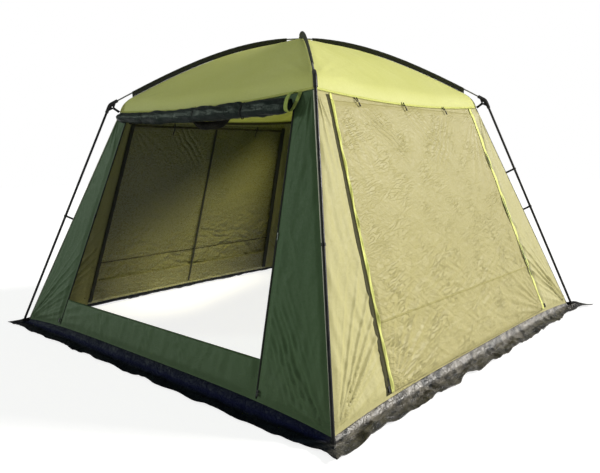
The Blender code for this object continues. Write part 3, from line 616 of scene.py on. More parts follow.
@dataclass(frozen=True)
class CoatedCloth:
    """Coated polyester cloth, a fine plain weave with a faint sheen and dust near the ground."""

    name: str
    slot: str  # the record's material slot
    colour: Triple
    worn: Triple  # colour of the paler patches, and of the painted light that pales the cloth near the ground
    roughness: float = 0.6
    glow: float = 0.0  # share of the light that comes through the cloth
    crinkle: float = 0.003  # height of the fine creases
    dust: float = 0.0  # how much dust gathers near the ground, from 0 to 1
    shine: float = 0.22  # specular level of the coating
    thread: float = 0.0011  # pitch of the weave

    def make(self) -> bpy.types.Material:
        """Builds the material: two crossed wave patterns weave, noise varies the colour and creases it."""
        wiring = Wiring(self.name)
        cloth = wiring.cloth_places()
        height = wiring.add("SeparateXYZ", {0: wiring.model_places()}).outputs[2]
        # Colour: paler patches, painted light that pales the cloth towards the ground, the weave's shade,
        # flecks and dust
        patches = wiring.between(wiring.noise(cloth, 0.42, 3), 0.35, 0.68)
        flecks = wiring.between(wiring.noise(cloth, 0.017, 4, 0.6), 0.3, 0.7)
        # Painted light: below 1.2 m the share rises towards the ground, so the cloth is paler there
        faded_and_painted_light_share = wiring.math("MAXIMUM", wiring.times(patches, 0.4), wiring.between(height, 0.3, 1.2, 0.85, 0))
        weave = wiring.times(wiring.bands(cloth, self.thread, "X"), wiring.bands(cloth, self.thread, "Y"))
        darker = tuple(channel * 0.8 for channel in self.colour)
        colour = wiring.mix(faded_and_painted_light_share, self.colour, self.worn)
        colour = wiring.mix(wiring.times(weave, 0.22), colour, darker)
        colour = wiring.mix(wiring.times(flecks, 0.18), colour, darker)
        low = wiring.times(wiring.between(height, 0.02, 0.34, 1, 0), wiring.between(flecks, 0.1, 0.9, 0.2, 1))
        colour = wiring.mix(wiring.times(low, self.dust), colour, (0.32, 0.29, 0.22))
        # Fine creases: soft noise and thin lines on two slants, deeper below the walls' middle
        climbing, falling = wiring.drawn_out(cloth, 0.28, 5.0), wiring.drawn_out(cloth, -0.62, 4.2)
        busy = wiring.between(wiring.noise(cloth, 0.19, 2), 0.42, 0.60, 0.05, 1)
        lines = wiring.times(wiring.line(climbing, 0.018), busy)
        other = wiring.times(wiring.line(falling, 0.021), wiring.math("SUBTRACT", 1.0, busy))
        lines = wiring.times(wiring.math("ADD", lines, wiring.times(other, 0.45)), 0.22)
        folds = wiring.math("ADD", wiring.times(wiring.noise(climbing, 0.022, 2, 0.2), 0.12), lines)
        depth = wiring.times(wiring.between(height, 0.5, 1.1, 1.0, 0.45), self.crinkle)
        normal = wiring.bump(wiring.times(folds, depth), 1.0, 1.0)
        normal = wiring.bump(weave, 0.0004, 0.25, normal)
        rough = wiring.between(flecks, 0, 1, self.roughness - 0.09, self.roughness + 0.07)
        wiring.dress(Base_Color=colour, Roughness=rough, Normal=normal, Specular_IOR_Level=self.shine)
        if self.glow:
            wiring.blend_in(self.glow, wiring.add("BsdfTranslucent", {"Color": colour, "Normal": normal}))
        return wiring.material


@dataclass(frozen=True)
class Netting:
    """Black mosquito net: fine crossed threads with holes between them."""

    name: str
    cover: float = 0.12  # share of the surface that the threads cover
    slot: str = "net_mesh"

    def make(self) -> bpy.types.Material:
        """Builds the material: the alpha follows two crossed wave patterns 1.6 mm apart."""
        wiring = Wiring(self.name)
        cloth = wiring.cloth_places()
        threads = wiring.math("MAXIMUM", wiring.bands(cloth, 0.0016, "X"), wiring.bands(cloth, 0.0016, "Y"))
        drape = wiring.between(wiring.noise(cloth, 0.09, 3, 0.5), 0.3, 0.7)
        colour = wiring.mix(drape, (0.010, 0.010, 0.009), (0.030, 0.029, 0.024))
        cover = wiring.between(threads, 0.2, 0.95, self.cover * 0.3, min(1.0, self.cover * 1.8))
        wiring.dress(Alpha=cover, Normal=wiring.bump(threads, 0.0004, 0.4))
        return wiring.dress(Base_Color=colour, Roughness=0.75, Specular_IOR_Level=0.1)


@dataclass(frozen=True)
class CrinkledFilm:
    """Black woven film of the ground skirt: crisp creases, a satin sheen, painted sky sheen and painted sun
    sheen.
    """

    name: str
    spread: Pair = (1.60, 1.75)  # values of X between which the patches of painted sun sheen set in
    shine: float = 0.03  # specular level of the film
    fold: float = 0.008  # height of the creases in the shading
    edge: float = 0.13  # half-width of the painted sheen patches' edge, in units of the noise
    slot: str = "skirt_film"
    colour: Triple = (0.004, 0.006, 0.009)
    navy: Triple = (0.010, 0.012, 0.050)  # colour of the band below the front hem, a painted reflection of the sky
    sun_sheen_grey: Triple = (0.185, 0.172, 0.148)  # grey of the patches of painted sun sheen on the sunny side

    def make(self) -> bpy.types.Material:
        """Builds the material: a weave of 3 mm tapes, creases by noise, painted sun sheen in patches and
        painted sky sheen by the hem.
        """
        wiring = Wiring(self.name)
        cloth = wiring.cloth_places()
        model = wiring.add("SeparateXYZ", {0: wiring.model_places()}).outputs
        down = wiring.add("SeparateXYZ", {0: cloth}).outputs[1]
        # Painted reflection: a dark blue band below the front hem stands for the satin film reflecting the
        # sky
        front = wiring.between(model[1], -1.69, -1.64, 1, 0)
        colour = wiring.mix(wiring.times(wiring.between(down, 0.085, 0.135), front), self.colour, self.navy)
        # Painted sun sheen: grey patches by noise, fuller towards the hem, where X passes the spread
        patchy = wiring.noise(wiring.drawn_out(cloth, 0.6, 2.2), 0.055, 3, 0.4)
        dust = wiring.between(patchy, 0.48 - self.edge, 0.48 + self.edge)
        dust = wiring.times(dust, wiring.between(down, 0.02, 0.13, 0.30, 1))
        sunny = wiring.between(model[0], *self.spread, 0, 0.95)
        colour = wiring.mix(wiring.times(dust, sunny), colour, self.sun_sheen_grey)
        lines = wiring.times(wiring.line(cloth, 0.035), 0.25)
        normal = wiring.bump(wiring.math("ADD", wiring.noise(cloth, 0.05, 2, 0.8), lines), self.fold, 1.0)
        tapes = wiring.times(wiring.bands(cloth, 0.003, "X"), wiring.bands(cloth, 0.003, "Y"))
        normal = wiring.bump(tapes, 0.0005, 0.3, normal)
        rough = wiring.between(wiring.noise(cloth, 0.05, 3), 0.3, 0.7, 0.34, 0.56)
        return wiring.dress(Base_Color=colour, Roughness=rough, Normal=normal, Specular_IOR_Level=self.shine)


@dataclass(frozen=True)
class Webbing:
    """Woven tape, webbing or zip tape with ribs across it."""

    name: str
    slot: str = "webbing"
    colour: Triple = (0.012, 0.012, 0.012)
    rib: float = 0.0018  # distance between the ribs

    def make(self) -> bpy.types.Material:
        """Builds the material: ribs across the tape, fainter threads along it, and fluff by noise."""
        wiring = Wiring(self.name)
        cloth = wiring.cloth_places()
        threads = wiring.between(wiring.bands(cloth, self.rib * 0.6, "X"), 0, 1, 0.6, 1)
        weave = wiring.times(wiring.bands(cloth, self.rib, "Y"), threads)
        paler = tuple(min(1.0, channel * 1.7 + 0.006) for channel in self.colour)
        fluff = wiring.between(wiring.noise(cloth, 0.012, 4), 0.4, 0.75)
        colour = wiring.mix(wiring.times(weave, 0.5), self.colour, paler)
        colour = wiring.mix(wiring.times(fluff, 0.3), colour, paler)
        normal = wiring.bump(weave, 0.0006, 0.6)
        return wiring.dress(Base_Color=colour, Roughness=0.78, Normal=normal, Specular_IOR_Level=0.15)


@dataclass(frozen=True)
class CoatedTube:
    """Powder-coated steel or painted metal, with a fine orange-peel skin and rubbed spots."""

    name: str
    slot: str
    colour: Triple
    rubbed: Triple  # colour where the coating has been rubbed
    roughness: float = 0.42
    metallic: float = 0.0
    level: float = 0.25  # specular level

    def make(self) -> bpy.types.Material:
        """Builds the material: noise of 2 mm for the skin, 60 mm for handling and 9 mm for rubbed spots."""
        wiring = Wiring(self.name)
        model = wiring.model_places()
        handled = wiring.between(wiring.noise(model, 0.06, 3), 0.35, 0.7)
        spots = wiring.between(wiring.noise(model, 0.009, 5), 0.62, 0.74)
        colour = wiring.mix(wiring.times(handled, 0.35), self.colour, self.rubbed)
        colour = wiring.mix(wiring.times(spots, 0.5), colour, self.rubbed)
        rough = wiring.between(handled, 0, 1, self.roughness - 0.05, self.roughness + 0.12)
        normal = wiring.bump(wiring.noise(model, 0.002), 0.0003, 0.2)
        wiring.dress(Base_Color=colour, Roughness=rough, Normal=normal)
        return wiring.dress(Metallic=self.metallic, Specular_IOR_Level=self.level)


@dataclass(frozen=True)
class MouldedPlastic:
    """Black moulded plastic with a spark-eroded grain."""

    name: str
    slot: str = "elbow_plastic"
    colour: Triple = (0.011, 0.011, 0.012)

    def make(self) -> bpy.types.Material:
        """Builds the material: noise of 0.9 mm for the grain, and of 30 mm for colour and roughness."""
        wiring = Wiring(self.name)
        model = wiring.model_places()
        patches = wiring.between(wiring.noise(model, 0.03, 4), 0.35, 0.7)
        colour = wiring.mix(wiring.times(patches, 0.6), self.colour, (0.028, 0.028, 0.03))
        rough = wiring.between(patches, 0, 1, 0.38, 0.52)
        normal = wiring.bump(wiring.noise(model, 0.0009), 0.0003, 0.35)
        return wiring.dress(Base_Color=colour, Roughness=rough, Normal=normal, Specular_IOR_Level=0.25)


# Every finish of the gazebo, by the key that its pieces name
KINDS = {
    "lime": CoatedCloth(
        "lime_roof_cloth", "lime_cloth", (0.73, 0.745, 0.275), (0.80, 0.81, 0.385), glow=0.28, crinkle=0.002
    ),
    "flap": CoatedCloth("lime_flap_cloth", "lime_cloth", (0.70, 0.74, 0.18), (0.76, 0.79, 0.25), dust=0.1),
    "green": CoatedCloth(
        "green_wall_cloth", "green_cloth", (0.050, 0.096, 0.038), (0.065, 0.116, 0.049), dust=0.08
    ),
    "khaki": CoatedCloth(
        "khaki_wall_cloth", "khaki_cloth", (0.358, 0.325, 0.126), (0.440, 0.402, 0.180),
        0.48, 0, 0.018, 0.1, 0.16,
    ),
    "jamb": CoatedCloth(
        "khaki_jamb_cloth", "khaki_cloth", (0.41, 0.385, 0.162), (0.46, 0.43, 0.20), 0.55, 0, 0.004, 0.1
    ),
    # Inner faces of the khaki walls and curtain: darker, greener copies of the same cloth, painted shade of
    # the gazebo's inside
    "khaki_inner": CoatedCloth(
        "khaki_wall_inner", "khaki_cloth", (0.190, 0.198, 0.060), (0.24, 0.24, 0.078), 0.30, 0, 0.040, 0, 0.6
    ),
    "jamb_inner": CoatedCloth(
        "khaki_jamb_inner", "khaki_cloth", (0.235, 0.24, 0.11), (0.27, 0.27, 0.125), 0.5, 0, 0.014
    ),
    "roll": CoatedCloth(
        "navy_door_cloth", "roll_cloth", (0.003, 0.008, 0.006), (0.010, 0.025, 0.021), 0.40, 0, 0.016, 0, 0.09
    ),
    "sleeve": CoatedCloth("sleeve_cloth", "sleeve_cloth", (0.034, 0.038, 0.028), (0.055, 0.058, 0.042), 0.66),
    "net": Netting("mosquito_net"),
    "net_rolled": Netting("rolled_net", cover=1.0),
    "film": CrinkledFilm("skirt_film"),
    # The right and back sides' lit copy of the film: more patches of painted sun sheen and a higher specular
    # level
    "film_sunny": CrinkledFilm("skirt_film_dusty", spread=(1.40, 1.66), shine=0.5, fold=0.009),
    "webbing": Webbing("black_webbing"),
    "strap_green": Webbing("light_green_strap", "lime_cloth", (0.30, 0.37, 0.09), 0.0016),
    "zip_cover": Webbing("olive_zip_cover", "sleeve_cloth", (0.040, 0.038, 0.016), 0.0012),
    "seam_khaki": Webbing("khaki_seam_tape", "khaki_cloth", (0.31, 0.285, 0.115), 0.0012),
    "zip_tape": Webbing("zip_tape", "webbing", (0.014, 0.016, 0.013), 0.0012),
    # Corner tape: its pale colour is a painted highlight, light reflecting along each upright corner
    "pale_tape": Webbing("pale_seam_tape", "khaki_cloth", (0.55, 0.54, 0.44), 0.0012),
    "lime_tape": Webbing("lime_seam_tape", "lime_cloth", (0.50, 0.52, 0.15), 0.0012),
    "steel_tube": CoatedTube(
        "black_coated_steel", "steel_tube", (0.009, 0.009, 0.010), (0.035, 0.035, 0.035), metallic=0.2
    ),
    "glass_fibre": CoatedTube("grey_glass_fibre", "glass_fibre", (0.16, 0.16, 0.155), (0.24, 0.24, 0.23)),
    "pin_steel": CoatedTube(
        "plain_steel", "pin_steel", (0.10, 0.10, 0.10), (0.30, 0.30, 0.30), 0.48, 1.0, 0.5
    ),
    "elbow_plastic": MouldedPlastic("black_moulded_plastic"),
    "slider_metal": CoatedTube(
        "black_zip_metal", "slider_metal", (0.016, 0.016, 0.016), (0.09, 0.09, 0.09), 0.3, 0.7, 0.5
    ),
}


class Workshop:
    """Turns grids into pieces of the gazebo, each with its finish and the body that it rides on."""

    def __init__(self) -> None:
        """Starts with all the finishes and no pieces."""
        self.materials = {key: kind.make() for key, kind in KINDS.items()}
        self.made: list[str] = []

    def piece(
        self, name: str, finish: str | tuple[str, ...], *patches: Patch, body: str = "shelter",
        thickness: float = 0.0, instead_of: str = "", hinge: Side | None = None, inner: tuple[str, ...] = (),
        weld: float = 0.00005,
    ) -> bpy.types.Object:
        """Makes one piece.

        Args:
            name: Name of the piece.
            finish: Key of its finish, or one key for each tone of its faces.
            *patches: Its grids, in their places in the model.
            body: The body it rides on.
            thickness: Thickness of the cloth, built inward from the grids, or 0 for a closed shape.
            instead_of: The model's node that it stands for.
            hinge: The side whose curtain's header it crosses. Such a piece only has its transform applied and
                rides on no body.
            inner: Keys of the finishes of the cloth's inner face, or none if they are the same.
            weld: Vertices nearer than this become one.

        Returns:
            The piece.
        """
        mesh = mesh_of(name, patches, weld)
        obj = bpy.data.objects.new(name, mesh)
        bpy.context.scene.collection.objects.link(obj)
        outer = (finish,) if isinstance(finish, str) else finish
        for key in outer + inner:
            mesh.materials.append(self.materials[key])
        if thickness:
            cloth = obj.modifiers.new("cloth", "SOLIDIFY")
            cloth.thickness = thickness
            cloth.offset = -1
            cloth.material_offset = len(inner)
        if hinge:
            ends = [WALL.on(hinge, 0.0, height, 0.0) for height in HINGE_HEIGHTS]
            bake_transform(obj)
        else:
            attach(obj, body)
        if instead_of:
            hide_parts(instead_of)
        self.made.append(name)
        LOG.info("%s: %d faces on %s", name, len(mesh.polygons), body)
        return obj


@dataclass(frozen=True)
class Studio:
    """Camera, lamps, floor and white surroundings."""

    camera_place: Triple = (3.309, -3.684, 1.344)
    yaw: float = -42.204  # turn about Z in degrees, 0 along +Y and negative to the left
    pitch: float = -7.577  # tilt in degrees, negative downward
    roll: float = -0.964  # roll in degrees
    lens: float = 34.883  # focal length in millimetres on a 36 mm sensor
    ambient: float = 0.22  # strength of the light from all round
    sun: float = 4.7  # strength of the soft key lamp
    sun_toward: Triple = (0.62, 0.66, 0.42)
    sun_angle: float = 9.0  # apparent size of both outer lamps, in degrees
    side_light: float = 0.92  # strength of the weaker lamp on the shaded side
    side_toward: Triple = (-0.78, -0.50, 0.38)
    roof_glow: float = 2.8  # power of the lamp on the ground that lights the roof's inside
    low_glow: float = 9.0  # power of the lamp under the roof that lights the left wall's inside
    floor_reach: float = 30.0  # half the floor's width

    def aim_camera(self) -> None:
        """Places the camera from its yaw, pitch and roll."""
        yaw, pitch, roll = (math.radians(angle) for angle in (self.yaw, self.pitch, self.roll))
        forward = Vector((math.sin(yaw) * math.cos(pitch), math.cos(yaw) * math.cos(pitch), math.sin(pitch)))
        right = forward.cross(Vector((0, 0, 1))).normalized()
        up = right.cross(forward)
        turned_right = right * math.cos(roll) + up * math.sin(roll)
        turned_up = up * math.cos(roll) - right * math.sin(roll)
        data = bpy.data.cameras.new("camera")
        data.lens = self.lens
        data.sensor_width = 36
        camera = bpy.data.objects.new("camera", data)
        axes = Matrix((turned_right, turned_up, -forward)).transposed().to_4x4()
        camera.matrix_world = Matrix.Translation(self.camera_place) @ axes
        bpy.context.scene.collection.objects.link(camera)
        bpy.context.scene.camera = camera

    def hang(
        self, name: str, kind: str, energy: float, colour: Triple, away: Triple, turn: float = 0,
        place: Triple = (0, 0, 0), **settings: object,
    ) -> bpy.types.Object:
        """Adds one lamp.

        Args:
            name: Name of the lamp.
            kind: SUN or AREA.
            energy: Its strength or power.
            colour: Colour of its light.
            away: Direction opposite to its light.
            turn: Its turn about that direction, in degrees.
            place: Where it hangs.
            **settings: The lamp's other settings.

        Returns:
            The lamp.
        """
        light = bpy.data.lights.new(name, kind)
        for key, value in {"energy": energy, "color": colour, **settings}.items():
            setattr(light, key, value)
        lamp = bpy.data.objects.new(name, light)
        lamp.location = place
        aim = Vector(away).to_track_quat("Z", "Y") @ Quaternion((0, 0, 1), math.radians(turn))
        lamp.rotation_euler = aim.to_euler()
        bpy.context.scene.collection.objects.link(lamp)
        return lamp

    def hang_lamps(self) -> None:
        """Adds the key lamp, the weaker lamp on the shaded side, and two lamps for the gazebo's inside."""
        soft = math.radians(self.sun_angle)
        self.hang("key", "SUN", self.sun, (1.0, 0.97, 0.91), self.sun_toward, angle=soft)
        self.hang("side", "SUN", self.side_light, (0.83, 1.0, 0.84), self.side_toward, angle=soft)
        square = {"shape": "RECTANGLE", "size": 1.6, "size_y": 1.6, "spread": math.radians(70)}
        narrow = {"shape": "RECTANGLE", "size": 1.8, "size_y": 0.25, "spread": math.radians(38)}
        green, yellow = (0.92, 1.0, 0.84), (1.0, 0.91, 0.58)
        place, away = (-0.1, 0.2, 0.03), (0, 0, -1)
        roof = self.hang("roof_glow", "AREA", self.roof_glow, green, away, 0, place, **square)
        place, away = (-0.30, 0.04, 1.80), (1.12, 0.0, 1.38)
        low = self.hang("low_glow", "AREA", self.low_glow, yellow, away, 18, place, **narrow)
        roof.visible_camera = low.visible_camera = False
        roof.visible_glossy = False

    def lay_floor(self) -> None:
        """A pale floor that shows white round the gazebo and keeps its shadow."""
        far = self.floor_reach
        mesh = bpy.data.meshes.new("floor")
        mesh.from_pydata([(-far, -far, 0), (far, -far, 0), (far, far, 0), (-far, far, 0)], [], [(0, 1, 2, 3)])
        wiring = Wiring("pale_floor")
        wiring.dress(Base_Color=(0.60, 0.60, 0.60), Roughness=0.9)
        grain = wiring.between(wiring.noise(wiring.model_places(), 0.4, 3), 0, 1, 0.33, 0.35)
        soft = wiring.add("BsdfDiffuse", {"Color": grain})
        light = wiring.add("Emission", {"Color": (1, 1, 1), "Strength": 0.82})
        shown = wiring.add("AddShader", {0: soft.outputs[0], 1: light.outputs[0]})
        wiring.blend_in(wiring.seen_by("Camera", "Glossy", "Transmission"), shown)
        mesh.materials.append(wiring.material)
        floor = bpy.data.objects.new("floor", mesh)
        bpy.context.scene.collection.objects.link(floor)

    def light_world(self) -> None:
        """An even pale light from all round, which the camera sees as plain white."""
        world = bpy.data.worlds.new("surroundings")
        bpy.context.scene.world = world
        world.use_nodes = True
        nodes = Nodes(world.node_tree)
        background = nodes.tree.nodes["Background"]
        nodes.put(background.inputs["Color"], (1, 1, 1))
        seen = nodes.seen_by("Camera", "Transmission")
        nodes.put(background.inputs["Strength"], nodes.between(seen, 0, 1, self.ambient, 1))

    def build(self) -> None:
        """Sets up everything that isn't the gazebo."""
        bpy.context.scene.view_settings.view_transform = "Standard"
        self.aim_camera()
        self.hang_lamps()
        self.lay_floor()
        self.light_world()


@dataclass(frozen=True)
class RoofCloth:
    """The domed lime roof: rings about the apex, each a square whose sides sag towards the eave."""

    rings: int = 80  # from the apex to the eave
    columns: int = 96  # of each of the four gores
    elbow_reach: float = 1.568359  # distance of the elbows from the middle, along the diagonal
    elbow_height: float = 1.812
    sleeve_end: float = 1.38036  # where the ridge leaves the pole, along the diagonal
    drop: float = 0.036  # from the lower pole's axis to the ridge
    stiffness: float = 0.116  # how much the poles straighten outward
    shoulder: Pair = (-0.014, 0.074)  # what the eave's shoulder bends towards, from the eave's corner
    cloth_run: float = 1.62  # cloth from the apex to the eave's corner

    def pole_height(self, reach: Array, top: float = 2.324) -> Array:
        """Height of a roof pole's axis, which falls with the square of the reach and straightens outward."""
        stiff = (1 + self.stiffness * self.elbow_reach**2) / (1 + self.stiffness * reach**2)
        return top - (top - self.elbow_height) * (reach / self.elbow_reach) ** 2 * stiff

    def ridge(self, count: int) -> tuple[Array, Array]:
        """The ridge under a pole, then a quadratic curve round the eave's shoulder.

        Args:
            count: Number of points.

        Returns:
            Reach along the diagonal and height, evenly spaced along the ridge.
        """
        reach = np.linspace(0, self.sleeve_end, 200)
        height = self.pole_height(reach) - self.drop
        share = np.linspace(0, 1, 40)[1:]
        out, up = WALL.corner_reach, WALL.top_height
        reach = np.append(reach, bow(share, reach[-1], out + self.shoulder[0], out))
        height = np.append(height, bow(share, height[-1], up + self.shoulder[1], up))
        run = np.concatenate([[0], np.cumsum(np.hypot(np.diff(reach), np.diff(height)))])
        even = np.linspace(0, run[-1], count)
        return np.interp(even, run, reach), np.interp(even, run, height)

    def places(self, side: Side, reach: Array, height: Array, across: Array, lift: Array | float) -> Array:
        """Places on one gore. Each ring's sides sag by a parabola that grows with the square of the reach."""
        half, grown = reach / DIAGONAL, (reach / WALL.corner_reach) ** 2
        sag = WALL.eave_sag * grown * (1 - across**2)
        outward = half + WALL.lean * sag * grown + 0.25 * lift
        return side.place(across * half, outward, height - sag + 0.95 * lift)

    def creases(self, side: Side, reach: Array, across: Array) -> Array:
        """Folds of one gore: pulls along the ridge's seams, a fan at each lower corner and soft swells."""
        folds = Creases(11 + side.value)
        x, y = across * reach / DIAGONAL, reach
        lift = folds.swell(x, y, 0.33, 0.006) + folds.crumple(x, y, 0.11, 0.0022, 1.8)
        for sign in (-1, 1):
            lift = lift + folds.fan(x, y, (sign * 1.05, 1.5), (sign * 0.55, 1.1), 0.8, 11, 0.5, 0.005)
        lift = lift + folds.crumple(x, y, 0.05, 0.0016, 4) * smooth(1.1, 1.45, reach)
        return lift * smooth(1.0, 0.9, np.abs(across)) * smooth(1.489, 1.42, reach)

    def build(self, shop: Workshop) -> None:
        """Makes the roof as one sheet that goes right round the apex."""
        reach, height = (line[::-1, None] for line in self.ridge(self.rings))
        across = np.linspace(-1, 1, self.columns + 1)[None, :]
        run = np.linspace(self.cloth_run, 0, self.rings)[:, None]
        patches = []
        for side in Side:
            places = self.places(side, reach, height, across, self.creases(side, reach, across))
            patches.append(Patch(places, across * reach / DIAGONAL, run))
        roof = shop.piece("roof", "lime", *patches, thickness=0.0012, instead_of="roof_canopy")


@dataclass(frozen=True)
class Sleeve:
    """A folded cloth strip that holds a roof pole above the ridge, pear-shaped in section."""

    roof: RoofCloth  # the roof it is sewn to
    start: float = 0.105  # where it starts, along the diagonal
    radius: float = 0.0082  # inside of the channel
    thickness: float = 0.0008
    foot: float = 0.0011  # from the seam to each side of the web
    above: float = 0.0012  # from the ridge to the web's foot
    girth: float = 0.107  # width of the flat strip
    stations: int = 130  # sections along its length
    sides: int = 26  # points round the channel

    def build(self, shop: Workshop, corner: Corner) -> None:
        """Makes one sleeve: the section runs up one side of the web, round the pole and down the other."""
        folds = Creases(corner.value)
        reach = np.linspace(self.start, self.roof.sleeve_end, self.stations)[:, None]
        base = np.interp(reach, *self.roof.ridge(400)) + self.above
        angle = np.linspace(math.radians(-60), math.radians(240), self.sides)[None, :]
        web = np.linspace(0, 1, 7)[None, :-1]
        outer = self.radius + self.thickness
        pucker = 0.0016 * folds.noise(reach / 0.035)
        gather = 0.0014 * folds.noise(reach / 0.028, web * 2)
        ring = np.cos(angle) * (outer + pucker)
        ring_up = self.roof.pole_height(reach, corner.arch_top) + np.sin(angle) * (outer + 0.5 * pucker)
        right = self.foot + (ring[:, :1] - self.foot) * web**1.4 + gather * web * 0.8
        right_up = base + (ring_up[:, :1] - base) * web
        across = np.concatenate([right, ring, -right[:, ::-1]], axis=1)
        up = np.concatenate([right_up, ring_up, right_up[:, ::-1]], axis=1)
        girth = np.linspace(0, self.girth, across.shape[1])[None, :]
        name, patch = f"sleeve_{corner.label}", Patch(corner.place(reach, across, up), girth, reach)
        sleeve = shop.piece(name, "sleeve", patch, thickness=self.thickness, instead_of=f"pole_{name}")


@dataclass(frozen=True)
class WallCloth:
    """One wall panel: jambs beside the doorway, a band over it and a wider one under it.

    Columns count from the panel's edge at -3 and 3 and the doorway's at -1 and 1. Rows count from the hem
    at 0, the sill at 1 and the header at 2 to the eave at 3.
    """

    side: Side  # the side it stands on
    thickness: float = 0.0012
    edge: float = 0.0019  # how far it stops short of the corner
    seam_gap: float = 0.0014  # how far it stops short of the eave
    columns: Spans = (((-3, -1), 70), ((-1, 1), 150), ((1, 3), 70))  # each grid's ends and faces along
    rows: Spans = (((0, 1), 22), ((1, 2), 126), ((2, 3), 8))  # each grid's ends and faces up

    def creases(self, along: Array, height: Array) -> Array:
        """Folds of the panel: fans out of the corners, upright folds in the jambs, slack under the sill.

        Args:
            along: Places along the wall.
            height: Heights.

        Returns:
            Lift of the panel's outer face.
        """
        folds, closed = Creases(101 + self.side.value), self.side.closed
        up, door_room = height * WALL.slope, np.abs(along) - WALL.door(height)
        fans, pulls = [], []
        for sign in (-1, 1):
            foot = (sign * 1.64, 0.03)
            fans.append((foot, (sign * 1.12, 0.40), 0.5, 7, 0.66, 0.010))
            fans.append((foot, (sign * 1.17, 0.46), 0.26, 18, 0.75, 0.026 if closed else 0.012, 6))
            fans.append(((sign * 1.04, 1.84), (sign * 1.10, 1.2), 0.5, 8, 0.4, 0.008))
        covered = smooth(0.0, 0.02, door_room)
        if not closed:
            covered = np.where(door_room > 0, 1, smooth(0.0, 0.012, np.abs(height - WALL.sill)))
            fans.append(((-1.62, 0.03), (-0.95, 0.24), 0.22, 25, 0.75, 0.009, 3))
            pulls.append(((1.48, 0.06), (1.08, 0.62), 0.034, 3, 0.008))
            for high, low in ((-0.10, 0.36), 0.20), ((0.30, 0.34), 0.62), ((-0.62, 0.34), -0.42):
                pulls.append((high, (low, 0.02), 0.04, 2, 0.006))
        lift = folds.swell(along, up, 0.42, 0.007) + folds.ripple(up, along, (0.5, 0.050), 0.0048)
        lift = lift + folds.crumple(along + 5, up, 0.11, 0.0036, 2.5) + folds.drawn(along, up, fans, pulls)
        slack = smooth(0.32, 0.2, height) * smooth(1.5, 1.0, np.abs(along))
        lift = lift + folds.crumple(along, up + 3, 0.09, 0.005, 3.0) * slack
        beside = smooth(0.0, 0.05, WALL.half(height) - np.abs(along)) * smooth(0.012, 0.06, np.abs(door_room))
        over_hem, under_eave = height - WALL.hem_line(along) - 0.012, WALL.eave(along) - height
        ends = smooth(0.0, 0.05, over_hem) * smooth(0.0, 0.06, under_eave)
        return lift * beside * ends * covered

    def zone(self, columns: Pair, rows: Pair, counts: tuple[int, int]) -> Patch:
        """One grid of the panel.

        Args:
            columns: Where the grid starts and ends along the wall.
            rows: Where it starts and ends up the wall.
            counts: How many columns and rows of faces it has.

        Returns:
            The grid.
        """
        line = np.linspace(*columns, counts[0] + 1)[None, :]
        level = np.linspace(*rows, counts[1] + 1)[:, None]

        def along_at(height: Array | float) -> Array:
            """Places of the columns at a height."""
            door, size = WALL.door(height), np.abs(line)
            jamb = WALL.half(height) - self.edge - door
            return np.sign(line) * (np.minimum(size, 1) * door + jamb * np.maximum(size - 1, 0) / 2)

        hem = WALL.hem_line(along_at(0.05))
        eave = WALL.eave(along_at(1.735)) - self.seam_gap
        under, door, over = (np.clip(level - start, 0, 1) for start in range(3))
        height = hem + (WALL.sill - hem) * under + (WALL.header - WALL.sill) * door
        height = height + (eave - WALL.header) * over
        along = along_at(height)
        tone = 1 if self.side.closed and columns == (-1, 1) else 0
        return WALL.patch(self.side, along, height, self.creases(along, height), tone)

    def build(self, shop: Workshop) -> None:
        """Makes the panel from eight grids round the doorway."""
        zones = [(columns, rows, (across, up)) for columns, across in self.columns for rows, up in self.rows]
        patches = [self.zone(*zone) for zone in zones if zone[:2] != ((-1, 1), (1, 2))]
        pale = self.side in (Side.RIGHT, Side.LEFT)
        finish = ("jamb", "khaki") if pale else ("green", "green")
        # the khaki walls' inner faces take the copies with painted shade
        inner = ("jamb_inner", "khaki_inner") if pale else ()
        label = self.side.label
        settings = {"thickness": self.thickness, "instead_of": f"wall_{label}", "inner": inner}
        wall = shop.piece(f"wall_cloth_{label}", finish, *patches, **settings)


